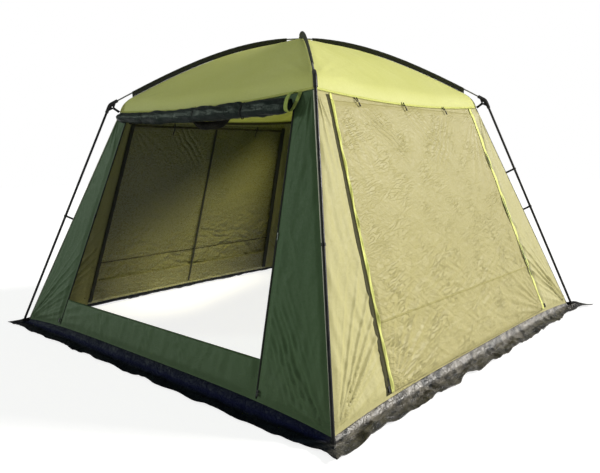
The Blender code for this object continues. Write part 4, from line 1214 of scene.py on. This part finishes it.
@dataclass(frozen=True)
class Curtain:
    """The outer curtain that closes a doorway, with the tapes on its cross seam."""

    side: Side  # the side it closes
    top: float = 1.690  # height of its header seam, about which it lifts
    bottom: float = 0.078  # height of its lower edge
    overlap: float = 0.012  # how far it laps over the doorway's edges
    face: float = 0.0020  # lift of its outer face
    thickness: float = 0.0012
    seam: float = 0.435  # height of its cross seam
    counts: tuple[int, int] = (236, 174)  # faces along and up

    @property
    def body(self) -> str:
        """The body that the curtain swings with, which is also the model's node."""
        return f"curtain_{self.side.label}"

    def surface(self, along: Array, height: Array) -> Array:
        """Lift of the outer face: two slanted sets of crinkles, pulls from the ties, fans from the corners.

        Args:
            along: Places along the wall.
            height: Heights.

        Returns:
            The lift, which is the plain face's along the edges.
        """
        folds, other = Creases(301 + self.side.value), Creases(351 + self.side.value)
        up, low = height * WALL.slope, smooth(1.0, 0.5, height)
        strong = 2.0 if self.side is Side.LEFT else 1.0
        busy = strong * np.clip(0.16 + 0.62 * low + 0.55 * folds.noise(along / 0.33, up / 0.24), 0.05, 1)
        slanted = strong * np.clip(0.05 + 0.75 * low + 0.6 * other.noise(along / 0.36, up / 0.3), 0, 1)
        lift = folds.swell(along, up, 0.45, 0.008)
        lift = lift + folds.ripple(along, up, (0.17, 0.032), 0.0018 + 0.0036 * low, 0.22) * busy
        lift = lift + other.ripple(along, up, (0.13, 0.030), 0.0014 + 0.0038 * low, -0.65) * slanted
        pulls = [
            ((-0.70, 1.79), (-0.22, 1.44), 0.036, 2.4, 0.009), ((-0.12, 1.79), (0.32, 1.36), 0.05, 2, 0.0050),
            ((0.45, 1.79), (0.10, 1.38), 0.05, 2, 0.0045), ((0.62, 0.62), (0.02, 0.30), 0.055, 1.6, 0.0035),
        ]
        fans = []
        for sign in (-1, 1):
            fans.append(((sign * 1.13, 0.08), (sign * 0.5, 0.45), 0.6, 11, 0.5, 0.014, 3))
            fans.append(((sign * 0.93, 1.79), (sign * 0.6, 1.2), 0.6, 9, 0.5, 0.004))
        lift = lift + folds.drawn(along, up, fans, pulls)
        lift = lift + 0.0012 * bell(height, self.seam, 0.006) + 0.003 * bell(height, self.seam, 0.03)
        room = smooth(0.0, 0.05, WALL.door(height) + self.overlap - np.abs(along))
        room = room * smooth(0.0, 0.04, self.top - height) * smooth(0.0, 0.03, height - self.bottom)
        return self.face + lift * room

    def sew_seam(self, shop: Workshop) -> None:
        """Makes the tapes over the cross seam, one outside and one inside, on the curtain's own folds."""
        grid = WALL.door_grid(self.seam - 0.006, self.seam + 0.006, self.overlap, (self.counts[0], 3), 0.985)
        outer = "zip_tape" if self.side is Side.BACK else "seam_khaki"
        tapes = (("outer", 0.0009, outer), ("inner", -self.thickness - 0.0003, "zip_cover"))
        for word, lift, finish in tapes:
            patch = WALL.patch(self.side, *grid, self.surface(*grid) + lift)
            name = f"curtain_seam_{word}_{self.side.label}"
            shop.piece(name, finish, patch, body=self.body, thickness=0.0006, hinge=self.side)

    def build(self, shop: Workshop) -> None:
        """Makes the curtain as one grid that follows the doorway's splay."""
        grid = WALL.door_grid(self.bottom, self.top, self.overlap, self.counts)
        # a khaki curtain's inner face takes the copy with painted shade
        finish, inner = ("green", ()) if self.side is Side.BACK else ("khaki", ("khaki_inner",))
        curtain = shop.piece(
            f"curtain_cloth_{self.side.label}", finish, WALL.patch(self.side, *grid, self.surface(*grid)),
            body=self.body, thickness=self.thickness, instead_of=self.body, hinge=self.side, inner=inner,
        )
        self.sew_seam(shop)


@dataclass(frozen=True)
class NetPanel:
    """The mosquito net inside a closed doorway."""

    side: Side  # the side it closes
    top: float = 1.680  # height of its upper edge
    bottom: float = 0.080  # height of its lower edge
    overlap: float = 0.010  # how far it laps over the doorway's edges
    face: float = -0.0020  # lift of its outer face, which is inside the wall
    thickness: float = 0.0006
    counts: tuple[int, int] = (130, 88)  # faces along and up

    def build(self, shop: Workshop) -> None:
        """Makes the net as one grid with soft upright folds inward."""
        label = self.side.label
        along, height = WALL.door_grid(self.bottom, self.top, self.overlap, self.counts)
        room = smooth(0, 0.05, WALL.door(height) + self.overlap - np.abs(along))
        room = room * smooth(0.03, 0.12, np.abs(along))
        room = room * smooth(0, 0.05, self.top - height) * smooth(0, 0.05, height - self.bottom)
        folds = Creases(501 + self.side.value).crumple(along, height, 0.12, 0.006, 4)
        patch = WALL.patch(self.side, along, height, self.face - room * folds)
        settings = {"thickness": self.thickness, "instead_of": f"net_{label}"}
        net = shop.piece(f"net_cloth_{label}", "net", patch, **settings)


@dataclass(frozen=True)
class GroundSkirt:
    """The black skirt sewn outside the hem, which lies in waves on the ground."""

    columns: int = 330  # of each side
    rows: int = 26  # from the hem to the loose edge
    outer_half: float = 1.792  # half its width at the loose edge
    width: float = 0.18  # from the seam to the loose edge
    thickness: float = 0.0014
    lap: float = 0.012  # how far it laps over the hem
    hole: float = 0.0122  # radius of the hole round each foot
    drawn: float = 0.055  # how far the back-right corner is drawn out along X

    def profile(self, share: Array) -> tuple[Array, Array]:
        """Five lines from the hem to the loose edge: outward distance and height, as the model has them."""
        hem = WALL.hem_line(share * WALL.foot_half)
        turns = 6 * math.pi * (share + 1)
        fold = 0.016 * (1 - np.cos(turns)) / 2
        flat = 1 - share**2
        wave = 0.009 * (np.sin(1.7 * turns) * np.sqrt(flat) - 1)
        top, low = hem + self.lap, hem * 0.45
        outward = [
            WALL.half(top) + 0.0008,
            WALL.half(low) + 0.010 + 0.25 * fold,
            np.full_like(share, WALL.foot_half + 0.036),
            (WALL.foot_half + self.outer_half) / 2 + 0.008 * flat,
            self.outer_half + wave * (1 - share**8),
        ]
        return np.array(outward), np.array([top, low, 0.004 + 0.25 * fold, fold, 0.55 * fold])

    def side_patch(self, side: Side, share: Array, down: Array, outward: Array, height: Array) -> Patch:
        """One side of the skirt, crumpled by noise in X and Y so that the corners match.

        Args:
            side: The side.
            share: Places along it, from -1 to 1.
            down: Rows, from 1 at the loose edge to 0 at the hem.
            outward: Distance from the middle.
            height: Height before it is crumpled.

        Returns:
            The grid, with a hole round each foot.
        """
        folds, fine = Creases(701), Creases(702)
        places = side.place(share * outward, outward, height)
        x, y = places[..., 0], places[..., 1]
        rough = 0.35 + 0.65 * smooth(1.45, 1.72, x) + 0.25 * smooth(1.4, 1.7, y) * smooth(1.6, 1.2, x)
        lift = folds.crumple(x, y, 0.17, 0.022) * (0.25 + 0.75 * rough)
        lift = lift + fine.crumple(x, y, 0.07, 0.0045) * rough
        over_foot = 0.0068 * smooth(0.034, 0.019, np.hypot(np.abs(x) - FOOT_OUT, np.abs(y) - FOOT_OUT))
        places[..., 2] = np.maximum(places[..., 2] + lift * smooth(0.12, 0.5, down), over_foot)
        # The loose edge is ragged where the skirt is rough, and one corner is drawn out
        ragged = 0.050 * folds.noise(x / 0.30 + 5, y / 0.30) + 0.006 * fine.noise(x / 0.12, y / 0.12)
        ragged = np.minimum(ragged * smooth(0.5, 1.0, down) * (rough - 0.25), 0)
        ragged = ragged * smooth(1.0, 0.96, np.abs(share))
        places = places + side.place(0.0, ragged, 0.0)
        drawn = self.drawn * smooth(1.66, 1.80, x) * smooth(1.66, 1.80, y)
        places = places + drawn[..., None] * np.array([1, 0.4, 0])
        # Cloth over a foot is pushed out to the hole's edge
        foot = FOOT_OUT * np.sign(np.stack([x, y], axis=-1))
        away = places[..., :2] - foot
        distance = np.hypot(away[..., 0], away[..., 1])
        inside = distance < self.hole
        push = np.where(inside, self.hole / np.maximum(distance, 1e-6), 1.0)
        places[..., :2] = foot + away * push[..., None]
        keep = ~(inside[:-1, :-1] & inside[:-1, 1:] & inside[1:, 1:] & inside[1:, :-1])
        # The right and back sides take the film's copy with painted sun sheen
        sunny = side in (Side.RIGHT, Side.BACK)
        return Patch(places, share * outward, self.width * (1 - down), keep, tone=int(sunny))

    def build(self, shop: Workshop) -> None:
        """Makes the skirt as a ring of four sides."""
        share, down = np.linspace(-1, 1, self.columns + 1), np.linspace(1, 0, self.rows + 1)
        outward, height = (through(lines, down) for lines in self.profile(share))
        grid = (share[None, :], down[:, None], outward, np.maximum(height, 0.0016))
        patches = [self.side_patch(side, *grid) for side in Side]
        settings = {"thickness": self.thickness, "instead_of": "skirt"}
        skirt = shop.piece("ground_skirt", ("film", "film_sunny"), *patches, **settings)


@dataclass(frozen=True)
class RolledSheet:
    """A sheet rolled up along the front wall, as a spiral whose turns follow the bundle's shape."""

    name: str
    node: str  # the model's node that it replaces
    finish: str
    start: float  # where it starts along the wall
    end: float  # where it ends
    turns: float  # turns of the spiral
    steps: int  # points in each turn
    stations: int  # sections along the roll
    thickness: float  # of the cloth, or 0 for a net that is a bare surface
    flat: Pair  # width and length of the sheet before it was rolled
    ties: tuple[float, ...] = ()  # where ties pinch it, along the wall
    core: float = 0.10  # share of the radius at which the spiral starts

    def share(self, along: Array) -> Array:
        """Share of the way along the roll."""
        return (along - self.start) / (self.end - self.start)

    def centre(self, along: Array) -> tuple[Array, Array, Array]:
        """Line of the bundle: the door comes down from its high end, and the net slumps near the middle.

        Args:
            along: Places along the wall.

        Returns:
            Height, lift and radius at each.
        """
        if self.node == "door_roll":
            size = 0.0425 + 0.0025 * Creases(901).noise(along / 0.13) - 0.005 * bell(along, -0.22, 0.11)
            size = size * (1 - 0.09 * sum(bell(along, tie, 0.022) for tie in self.ties))
            return 1.645 + 0.043 * (1 - self.share(along)) ** 3.8, 0.0010 + 0.95 * size, size
        slump = bell(along, 0.125, 0.19, 4)
        size = 0.0190 * (1 + 0.9 * slump)
        return 1.664 - 0.068 * slump, -(0.0022 + size), size

    def section(self, along: Array, angle: Array, turn: Array, extra: float = 0.0) -> tuple[Array, Array]:
        """The bundle's section: lobes that twist along the roll, and folds that deepen outward.

        Args:
            along: Places along the wall.
            angle: Angle about the bundle's middle.
            turn: Share of the way out of the spiral.
            extra: Distance outside the cloth.

        Returns:
            Height up the slope and lift.
        """
        folds = Creases(911)
        height, lift, size = self.centre(along)
        lobe = 0.07 * (1 + np.cos(3 * angle + 2.5 * along)) / 2
        around = 1.9 * np.cos(angle) + 0.5 * np.sin(7 * along)
        crush = 0.10 * (0.5 + 0.5 * folds.noise(around, 1.9 * np.sin(angle) + along / 0.30))
        crush = crush + 0.12 * folds.crumple(angle + 0.8 * along, along, 0.55, 1.0, 0.4)
        crush = crush + 0.22 * folds.ripple(along, angle * 0.05, (0.16, 0.035), 1.0, 0.25)
        share = self.share(along)
        blunt = 1.0 if extra else 0.72 + 0.28 * smooth(0, 0.035, np.minimum(share, 1 - share))
        full = size * blunt * (self.core + (1 - self.core) * turn)
        radius = full * (1 - 0.6 * lobe - crush * turn**1.5) + extra
        tall = 1.16 + 0.48 * smooth(0, 0.4, share) if self.node == "door_roll" else 1
        return height * WALL.slope + tall * radius * np.cos(angle), lift + radius * np.sin(angle)

    def build(self, shop: Workshop) -> None:
        """Makes the spiral: the radius grows evenly with the turn."""
        share = np.linspace(0, 1, self.stations)[None, :]
        along = self.start + (self.end - self.start) * share
        turn = np.linspace(0, 1, int(self.turns * self.steps) + 1)[:, None]
        up, out = self.section(along, 2 * math.pi * self.turns * turn - 0.9, turn)
        # The inner turns stick out of the ends a little
        shift = 0.012 * (1 - turn) * np.sign(share - 0.5) * smooth(0.1, 0, np.minimum(share, 1 - share))
        places = WALL.on(Side.FRONT, along + shift, up / WALL.slope, out)
        patch = Patch(places, along, np.linspace(0, self.flat[1], turn.size)[:, None])
        settings = {"thickness": self.thickness, "instead_of": self.node, "weld": 1e-6}
        roll = shop.piece(self.name, self.finish, patch, **settings)


class StripOn(Enum):
    """What a strip's cross-section does."""

    FLAT = 0
    RIDGE = 1
    WAVY = 2


@dataclass(frozen=True)
class Strip:
    """A sewn tape, zip or flap that runs up a wall beside a line."""

    name: str
    finish: str
    side: Side  # the wall it is on
    lift: float  # lift of its outer face, negative inside the wall
    thickness: float = 0.0008
    kind: StripOn = StripOn.FLAT
    proud: float = 0.0  # how far a ridge or a wave stands off
    columns: int = 6  # faces across it
    under: Callable[[Array, Array], Array] | None = None  # lift of the cloth it lies on, added to its own
    body: str = "shelter"  # the body it rides on

    def build(
        self, shop: Workshop, line: Array, height: Array, one: Array | float, other: Array | float
    ) -> None:
        """Makes the strip between two offsets from a line.

        Args:
            shop: The workshop.
            line: Places along the wall of the line's points, from the lower end up.
            height: Heights of the line's points.
            one: One edge's offset from the line, along the wall.
            other: The other edge's offset.
        """
        line, height = line[:, None], height[:, None]
        share = np.linspace(0, 1, self.columns + 1)[None, :]
        left, right = (np.reshape(edge, (-1, 1)) for edge in (np.minimum(one, other), np.maximum(one, other)))
        along = line + left + (right - left) * share
        level = np.broadcast_to(height, along.shape)
        rise = np.zeros(along.shape)
        if self.kind is StripOn.RIDGE:
            rise = rise + self.proud * bell(share, 0.5, 0.16)
        if self.kind is StripOn.WAVY:
            folds = Creases(1201 + self.side.value)
            wave = self.proud * (0.35 + 0.65 * folds.noise(level / 0.085, share * 0.8 + 0.3)) * share
            rise = np.maximum(wave, 0)
            along = along + 0.0017 * folds.noise(level / 0.12 + 5, share)
        if self.under:
            rise = rise + self.under(along, level)
        away = -1 if self.lift < 0 else 1
        places = WALL.on(self.side, along, level, self.lift + away * rise)[:, ::away]
        patch = Patch(places, (along - line)[:, ::away], level * WALL.slope)
        hinge = self.side if self.body != "shelter" else None
        shop.piece(self.name, self.finish, patch, body=self.body, thickness=self.thickness, hinge=hinge)


@dataclass(frozen=True)
class DoorTrim:
    """Zips, flaps and tapes at the doorway's edges of one wall."""

    side: Side
    edge: float = 0.011  # how far a weather flap's outer edge is outside the doorway's
    fold: float = -0.024  # where the right flap turns over, from the doorway's edge
    folded: tuple[Pair, ...] = ((0.50, 0.17), (0.90, 0.12), (1.30, 0.07))  # middle and half of each

    def line(self, sign: int, low: float, high: float, count: int = 160) -> tuple[Array, Array]:
        """The doorway's edge between two heights, as places along the wall and heights."""
        height = np.linspace(low, high, count)
        return sign * WALL.door(height), height

    def build_open(self, shop: Workshop) -> None:
        """The open doorway's zips: dark tape from the hem to above the header at both edges."""
        for sign, word in HANDS:
            line = self.line(sign, WALL.hem + 0.015, WALL.header + 0.03)
            tapes = (("zip_tape", 0.006, 0.0014, 0.0016), ("net_zip_tape", 0.011, -0.0022, 0.003))
            for kind, half, lift, proud in tapes:
                settings = {"kind": StripOn.RIDGE, "proud": proud}
                strip = Strip(f"{kind}_{self.side.label}_{word}", "zip_tape", self.side, lift, **settings)
                strip.build(shop, *line, -half, half)

    def build_closed(self, shop: Workshop) -> None:
        """A closed doorway's zips and flaps outside, and the net's zips inside."""
        side, label = self.side, self.side.label
        curtain, wall = Curtain(side), WallCloth(side)
        finish = "green" if side is Side.BACK else "flap"
        for sign, word in HANDS:
            line, height = self.line(sign, 0.078, 1.725)
            # The dark cover is partly the zip's cover and partly painted shade beside the flap, which widens
            # it towards the ground
            painted_shade_widening = (0.011 - 0.008 * sign) * (1 - height / 1.7)
            far = sign * (0.032 - 0.011 * sign + painted_shade_widening + 0.002 * np.sin(height * 23))
            name = f"zip_cover_{label}_{word}"
            cover = Strip(name, "zip_cover", side, 0.0010, 0.0006, columns=10, under=wall.creases)
            cover.build(shop, line, height, sign * 0.0130, far)
            flap = Strip(
                f"weather_flap_{label}_{word}", finish, side, 0.0034, 0.001, StripOn.WAVY, 0.012, 8,
                curtain.surface, curtain.body,
            )
            self.lay_flap(shop, flap, sign, self.line(sign, 0.082, 1.6895, 230))
            if sign > 0:
                self.fold_flap(shop, curtain)
            head = Strip(f"weather_flap_head_{label}_{word}", finish, side, 0.0050, 0.001, under=wall.creases)
            self.lay_flap(shop, head, sign, self.line(sign, 1.6915, WALL.eave(0.9) - 0.004, 10))
            inner, proud = (-0.024, 0.006) if sign > 0 else (-0.046, 0.013)
            zip_edge = Strip(
                f"net_edge_zip_{label}_{word}", "zip_tape", side, -0.0098, 0.001, StripOn.WAVY, proud
            )
            zip_edge.build(shop, *self.line(sign, 0.075, 1.675), sign * inner, sign * 0.012)
        height = np.linspace(0.09, 1.67, 140)
        middle = Strip(f"net_middle_zip_{label}", "zip_tape", side, -0.0030)
        middle.build(shop, 0 * height, height, -0.012, 0.012)
        # The dark tape over the net's upper edge, inside
        along, height = np.linspace(0.915, -0.915, 121)[None, :], np.linspace(1.638, 1.656, 4)[:, None]
        patch = WALL.patch(side, along, height, -0.0052)
        shop.piece(f"net_header_tape_{label}", "zip_cover", patch, thickness=0.0007)

    def lay_flap(self, shop: Workshop, flap: Strip, sign: int, line: tuple[Array, Array]) -> None:
        """Makes a weather flap, which is uneven in width because it lies folded here and there.

        Args:
            shop: The workshop.
            flap: The flap.
            sign: -1 at the left edge of the doorway and 1 at the right one.
            line: The doorway's edge.
        """
        folds = Creases(1301 + self.side.value + sign)
        usual, uneven, length = (0.016, 0.005, 0.3) if sign < 0 else (0.036, 0.020, 0.17)
        width = usual + uneven * folds.noise(line[1] / length)
        flap.build(shop, *line, sign * (self.edge - width), sign * self.edge)

    def fold_flap(self, shop: Workshop, curtain: Curtain) -> None:
        """Makes dark green strips where the right flap has turned over: painted shade of the fold."""
        belly = np.sin(np.linspace(0, math.pi, 60)) ** 0.8
        for number, (middle, half) in enumerate(self.folded, 1):
            name = f"weather_flap_under_{self.side.label}_{number}"
            # Dark green strip: painted shade where the flap folds over
            under = Strip(name, "green", self.side, 0.0120, under=curtain.surface, body=curtain.body)
            line = self.line(1, middle - half, middle + half, 60)
            under.build(shop, *line, self.fold - 0.016 * belly, self.fold + 0.004 * belly)

    def build(self, shop: Workshop) -> None:
        """Makes the trim that this side has."""
        (self.build_closed if self.side.closed else self.build_open)(shop)


@dataclass(frozen=True)
class SeamTapes:
    """Tapes over the seams: a binding round the eave, tapes inside it, and tapes over the corners, pale as a
    painted highlight.
    """

    roof: RoofCloth  # the roof whose eave is bound
    width: float = 0.008  # width of a corner's tape on each side of the seam
    proud: float = 0.0013  # how far a tape stands off the cloth

    def bind_eave(self, shop: Workshop) -> None:
        """Makes one binding round the whole eave, over the last eight of 900 points down the roof."""
        reach, height = (line[-8:][::-1, None] for line in self.roof.ridge(900))
        across = np.linspace(-1, 1, 121)[None, :]
        down = np.linspace(0, 0.013, 8)[:, None]
        patches = []
        for side in Side:
            places = self.roof.places(side, reach, height, across, 1.6 * self.proud)
            patches.append(Patch(places, down, across * WALL.top_half))
        shop.piece("eave_binding", "lime_tape", *patches, thickness=0.0008)

    def seal_eave(self, shop: Workshop, side: Side) -> None:
        """Makes the tape inside one wall that covers the seam between it and the roof."""
        along = np.linspace(1.030, -1.030, 141)[None, :]
        patch = WALL.patch(side, along, WALL.eave(along) + np.linspace(-0.016, 0.006, 5)[:, None], -0.0045)
        shop.piece(f"eave_tape_{side.label}", "zip_cover", patch, thickness=0.0006)

    def tape_corner(self, shop: Workshop, corner: Corner, left: Side, right: Side) -> None:
        """Makes the tape over one upright corner, whose pale colour is a painted highlight along the corner's
        edge.

        Args:
            shop: The workshop.
            corner: The corner.
            left: The wall on the left of the corner as seen from outside.
            right: The wall on the right of it.
        """
        height = np.linspace(0.034, WALL.top_height - 0.006, 170)[:, None]
        half = WALL.half(height)
        near = half - np.linspace(self.width, 0.0025, 3)[None, :]
        on_left = WALL.on(left, near, height, self.proud)
        on_right = WALL.on(right, -near[:, ::-1], height, self.proud)
        edge = corner.place((half + self.proud) * DIAGONAL, 0.0, height)
        places = np.concatenate([on_left, edge, on_right], axis=1)
        patch = Patch(places, np.linspace(0, 2 * self.width, 7)[None, :], height * WALL.slope)
        shop.piece(f"corner_tape_{corner.label}", "pale_tape", patch, thickness=0.0007)

    def build(self, shop: Workshop) -> None:
        """Makes all the tapes."""
        self.bind_eave(shop)
        for side in Side:
            self.seal_eave(shop, side)
        corners = (Corner.FRONT_RIGHT, Corner.BACK_RIGHT, Corner.BACK_LEFT, Corner.FRONT_LEFT)
        walls = (Side.FRONT, Side.RIGHT, Side.BACK, Side.LEFT, Side.FRONT)
        for corner, left, right in zip(corners, walls, walls[1:]):
            self.tape_corner(shop, corner, left, right)


@dataclass(frozen=True)
class CornerStrap:
    """The webbing strap from an elbow to the roof's corner, folded back and stitched at both ends."""

    roof: RoofCloth  # the roof, whose pole sets the elbow's angle
    width: float = 0.020
    thickness: float = 0.0010  # of one layer
    reach: float = 0.0405  # from the elbow's bend to the strap
    stop: float = 0.0062  # how far it ends before the roof's corner

    def line(self, corner: Corner) -> tuple[Array, Array, Array]:
        """Start and end of the strap, and the direction across it, in the corner's upright plane.

        Args:
            corner: The corner.

        Returns:
            Each as reach and height.
        """

        def unit(vector: Array) -> Array:
            """The vector's direction."""
            return vector / np.linalg.norm(vector)

        bend = np.array([self.roof.elbow_reach, self.roof.elbow_height])
        before = bend[0] - self.roof.elbow_reach / 12
        to_pole = unit(np.array([before, self.roof.pole_height(before, corner.arch_top)]) - bend)
        to_leg = unit(np.array([FOOT_REACH, 0.0]) - bend)
        start = bend + unit(to_pole + to_leg) * self.reach
        tip = np.array([WALL.corner_reach, WALL.top_height])
        return start, tip - unit(tip - start) * self.stop, unit(to_leg - to_pole)

    def build(self, shop: Workshop, corner: Corner) -> None:
        """Makes the strap: two layers side by side that meet at the ends, bellied out a little between."""
        start, end, across = self.line(corner)
        share, wide = np.linspace(0, 1, 33)[:, None], np.linspace(-1, 1, 13)[None, :]
        swollen = np.sin(math.pi * share) ** 2
        plane = start + (end - start) * share[..., None]
        plane = plane + across * (wide * (1 - 0.10 * swollen))[..., None] * self.width / 2
        span = float(np.linalg.norm(end - start))
        for word, sign, node in (("", 1, f"corner_strap_{corner.label}"), ("_return", -1, "")):
            belly = sign * (0.0011 + 0.0014 * swollen * (1 - 0.4 * wide**2))
            places = corner.place(plane[..., 0], belly, plane[..., 1])[:, ::sign]
            patch = Patch(places, wide * self.width / 2, share * span)
            name = f"elbow_strap_{corner.label}{word}"
            shop.piece(name, "webbing", patch, thickness=self.thickness, instead_of=node)


@dataclass(frozen=True)
class Fittings:
    """Toggles, loops, ties, buckles and foot loops: the small things that hold the cloth."""

    toggles: Triple = (-0.67, -0.123, 0.449)  # places along a closed wall
    inside_ties: Pair = (-0.52, 0.50)  # places along a closed wall
    buckle_height: float = 0.105
    buckle_lift: float = 0.011

    def toggle(self, shop: Workshop, side: Side, along: float, number: int) -> None:
        """Makes one toggle below the header, on the curtain, and the loop over it, on the eave.

        Args:
            shop: The workshop.
            side: The wall.
            along: Place along the wall.
            number: Number of the toggle, for its name.
        """
        curtain = Curtain(side)
        share, turn = np.linspace(0, 1, 15), np.linspace(0, math.pi, 25)
        profile = np.sqrt(np.clip(1 - (2 * share - 1) ** 8, 0, 1)) * (1 - 0.28 * bell(share, 0.5, 0.10))
        height, lean = 1.687 - 0.029 * share, along + 0.007 * share
        lift = 0.0075 + np.maximum(curtain.surface(lean, height), 0.010)
        barrel = tube_patch(WALL.on(side, lean, height, lift), 0.0048 * profile, 12)
        shop.piece(f"toggle_{side.label}_{number}", "elbow_plastic", barrel, body=curtain.body)
        height = 1.7225 - 0.030 * np.sin(turn) ** 0.4
        path = WALL.on(side, along + 0.0125 * np.cos(turn), height, 0.004 + 0.011 * np.sin(turn))
        shop.piece(f"toggle_loop_{side.label}_{number}", "webbing", tube_patch(path, np.full(25, 0.0026), 8))

    def hanging_tie(self, shop: Workshop, side: Side, along: float, number: int) -> None:
        """Makes one tie tape that hangs inside from the header."""
        height = np.linspace(1.578, 1.684, 24)
        strip = Strip(f"inside_tie_{side.label}_{number}", "webbing", side, -0.0125, 0.0010, columns=3)
        strip.build(shop, along + 0.006 * np.sin(height * 40 + number), height, -0.006, 0.006)

    def roll_tie(self, shop: Workshop, roll: RolledSheet, along: float, number: int) -> None:
        """Makes one tie round the rolled door: a band 3 mm outside the roll."""
        across = np.linspace(-0.005, 0.005, 5)[None, :]
        angle = np.linspace(0, 2 * math.pi, 97)[:, None] - math.pi / 2
        up, out = roll.section(along + across, angle, np.ones((1, 1)), 0.0030)
        places = WALL.on(Side.FRONT, along + across, up / WALL.slope, np.maximum(out, 0.0020))[:, ::-1]
        patch = Patch(places, across, np.linspace(0, 0.3, angle.size)[:, None])
        shop.piece(f"roll_tie_{number}", "webbing", patch, thickness=0.0010)

    def end_strap(self, shop: Workshop) -> None:
        """Makes the light green strap that hangs from the eave round the roll's right end."""
        along = (0.953, 0.954, 0.953, 0.948, 0.938, 0.929, 0.927, 0.926, 0.925, 0.925)
        height = (1.7365, 1.700, 1.660, 1.622, 1.602, 1.612, 1.652, 1.692, 1.724, 1.7345)
        lift = (0.004, 0.012, 0.024, 0.036, 0.052, 0.070, 0.077, 0.068, 0.040, 0.010)
        path = through(np.array([along, height, lift]).T, np.linspace(0, 1, 61))
        across = np.linspace(-0.015, 0.015, 7)[None, :]
        places = WALL.on(Side.FRONT, path[:, :1] + across, path[:, 1:2], path[:, 2:3])
        patch = Patch(places, across, np.linspace(0, 0.34, 61)[:, None])
        shop.piece("roll_end_strap", "strap_green", patch, thickness=0.0012)

    def ring(self, shop: Workshop, corner: Corner) -> None:
        """Makes the rubber ring round the foot of a leg: a circle carried round the leg, which leans."""
        around = np.linspace(0, 2 * math.pi, 41)[None, :]
        section = np.linspace(0, 2 * math.pi, 17)[:, None]
        height = 0.0112 + 0.0042 * np.sin(section)
        spread = 0.0140 + 0.0040 * np.cos(section)
        reach = FOOT_REACH - LEG_LEAN * height + spread * 1.10 * np.cos(around)
        places = corner.place(reach, spread * np.sin(around), height)[:, ::-1]
        patch = Patch(places, around * 0.014, section * 0.004)
        shop.piece(f"foot_ring_{corner.label}", "elbow_plastic", patch)

    def foot_loop(self, shop: Workshop, corner: Corner) -> None:
        """Makes the webbing loop that holds the wall's corner to the leg just above the foot."""
        angle = np.linspace(0, 2 * math.pi, 49)[None, :]
        level = np.linspace(0.018, 0.034, 6)[:, None]
        leg, inner = FOOT_REACH - LEG_LEAN * level, (WALL.half(level) - 0.004) * DIAGONAL
        reach = (leg + inner) / 2 + 0.003 + ((leg - inner) / 2 + 0.0125) * np.cos(angle)
        across = 0.0125 * np.sign(np.sin(angle)) * np.abs(np.sin(angle)) ** 0.7
        patch = Patch(corner.place(reach, across, level), angle * 0.025, level)
        shop.piece(f"foot_loop_{corner.label}", "webbing", patch, thickness=0.0014)

    def buckle(self, shop: Workshop, side: Side, along: float, name: str) -> None:
        """Makes one small side-release buckle at the foot of a zip, in two blocks with a tongue between.

        Args:
            shop: The workshop.
            side: The wall.
            along: Place along the wall.
            name: Name of the piece.
        """
        middle, right, up = (
            WALL.on(side, along + across, self.buckle_height + above, self.buckle_lift)
            for across, above in ((0.0, 0.0), (1.0, 0.0), (0.0, 1.0))
        )
        right, up = ((end - middle) / np.linalg.norm(end - middle) for end in (right, up))
        axes = np.stack([right, up, np.cross(right, up)])
        sizes = (
            (0.009, (0.0085, 0.0075, 0.0034)),
            (-0.009, (0.0090, 0.0080, 0.0030)),
            (0.0, (0.0055, 0.0050, 0.0022)),
        )
        blocks = [rounded_block(middle + shift * up, axes, half) for shift, half in sizes]
        shop.piece(name, "elbow_plastic", *blocks, weld=1e-6)

    def build(self, shop: Workshop, roll: RolledSheet) -> None:
        """Makes all the fittings."""
        for side in Side:
            if side.closed:
                for number, along in enumerate(self.toggles, 1):
                    self.toggle(shop, side, along, number)
                for number, along in enumerate(self.inside_ties, 1):
                    self.hanging_tie(shop, side, along, number)
            for sign, word in HANDS:
                place = WALL.door(0.09) + (0.036 if side.closed else 0.012)
                self.buckle(shop, side, sign * place, f"zip_buckle_{side.label}_{word}")
        for number, along in enumerate(roll.ties, 1):
            self.roll_tie(shop, roll, along, number)
        self.end_strap(shop)
        for corner in Corner:
            self.foot_loop(shop, corner)
            self.ring(shop, corner)


@dataclass(frozen=True)
class HardParts:
    """Poles, legs, elbows, clips, feet and sliders, which keep the model's shapes."""

    finishes: tuple[tuple[str, str], ...] = (  # how the nodes' names start, and the finish
        ("arch_", "glass_fibre"), ("elbow_", "elbow_plastic"), ("leg_upper_", "steel_tube"),
        ("leg_lower_", "steel_tube"), ("foot_pin_", "pin_steel"), ("leg_clip_", "elbow_plastic"),
        ("zip_slider_", "slider_metal"), ("net_slider_", "slider_metal"),
    )

    def build(self, shop: Workshop) -> None:
        """Puts a finish on every node of the model whose name starts as one listed here."""
        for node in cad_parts:
            for start, finish in self.finishes:
                if node.startswith(start):
                    obj = bpy.data.objects[node]
                    for slot in obj.material_slots:
                        slot.material = shop.materials[finish]
                    if not obj.material_slots:
                        obj.data.materials.append(shop.materials[finish])


def main() -> None:
    """Builds the studio and every piece in order."""
    logging.basicConfig(level=logging.INFO, format="%(message)s")
    Studio().build()
    shop = Workshop()
    roof = RoofCloth()
    roof.build(shop)
    for corner in Corner:
        Sleeve(roof).build(shop, corner)
    for side in Side:
        WallCloth(side).build(shop)
        if side.closed:
            Curtain(side).build(shop)
            NetPanel(side).build(shop)
        DoorTrim(side).build(shop)
    GroundSkirt().build(shop)
    SeamTapes(roof).build(shop)
    for corner in Corner:
        CornerStrap(roof).build(shop, corner)
    ties = (-0.62, 0.03, 0.52)
    door = RolledSheet(
        "rolled_door", "door_roll", "roll", -0.978, 0.930, turns=13, steps=30, stations=120,
        thickness=0.0008, flat=(2.27, 1.71), ties=ties,
    )
    door.build(shop)
    Fittings().build(shop, door)
    RolledSheet(
        "rolled_net", "net_roll", "net_rolled", -0.90, 0.90, turns=25, steps=19, stations=90,
        thickness=0.0, flat=(2.27, 1.70),
    ).build(shop)
    HardParts().build(shop)
    LOG.info("%d pieces made", len(shop.made))


if __name__ == "__main__":
    main()
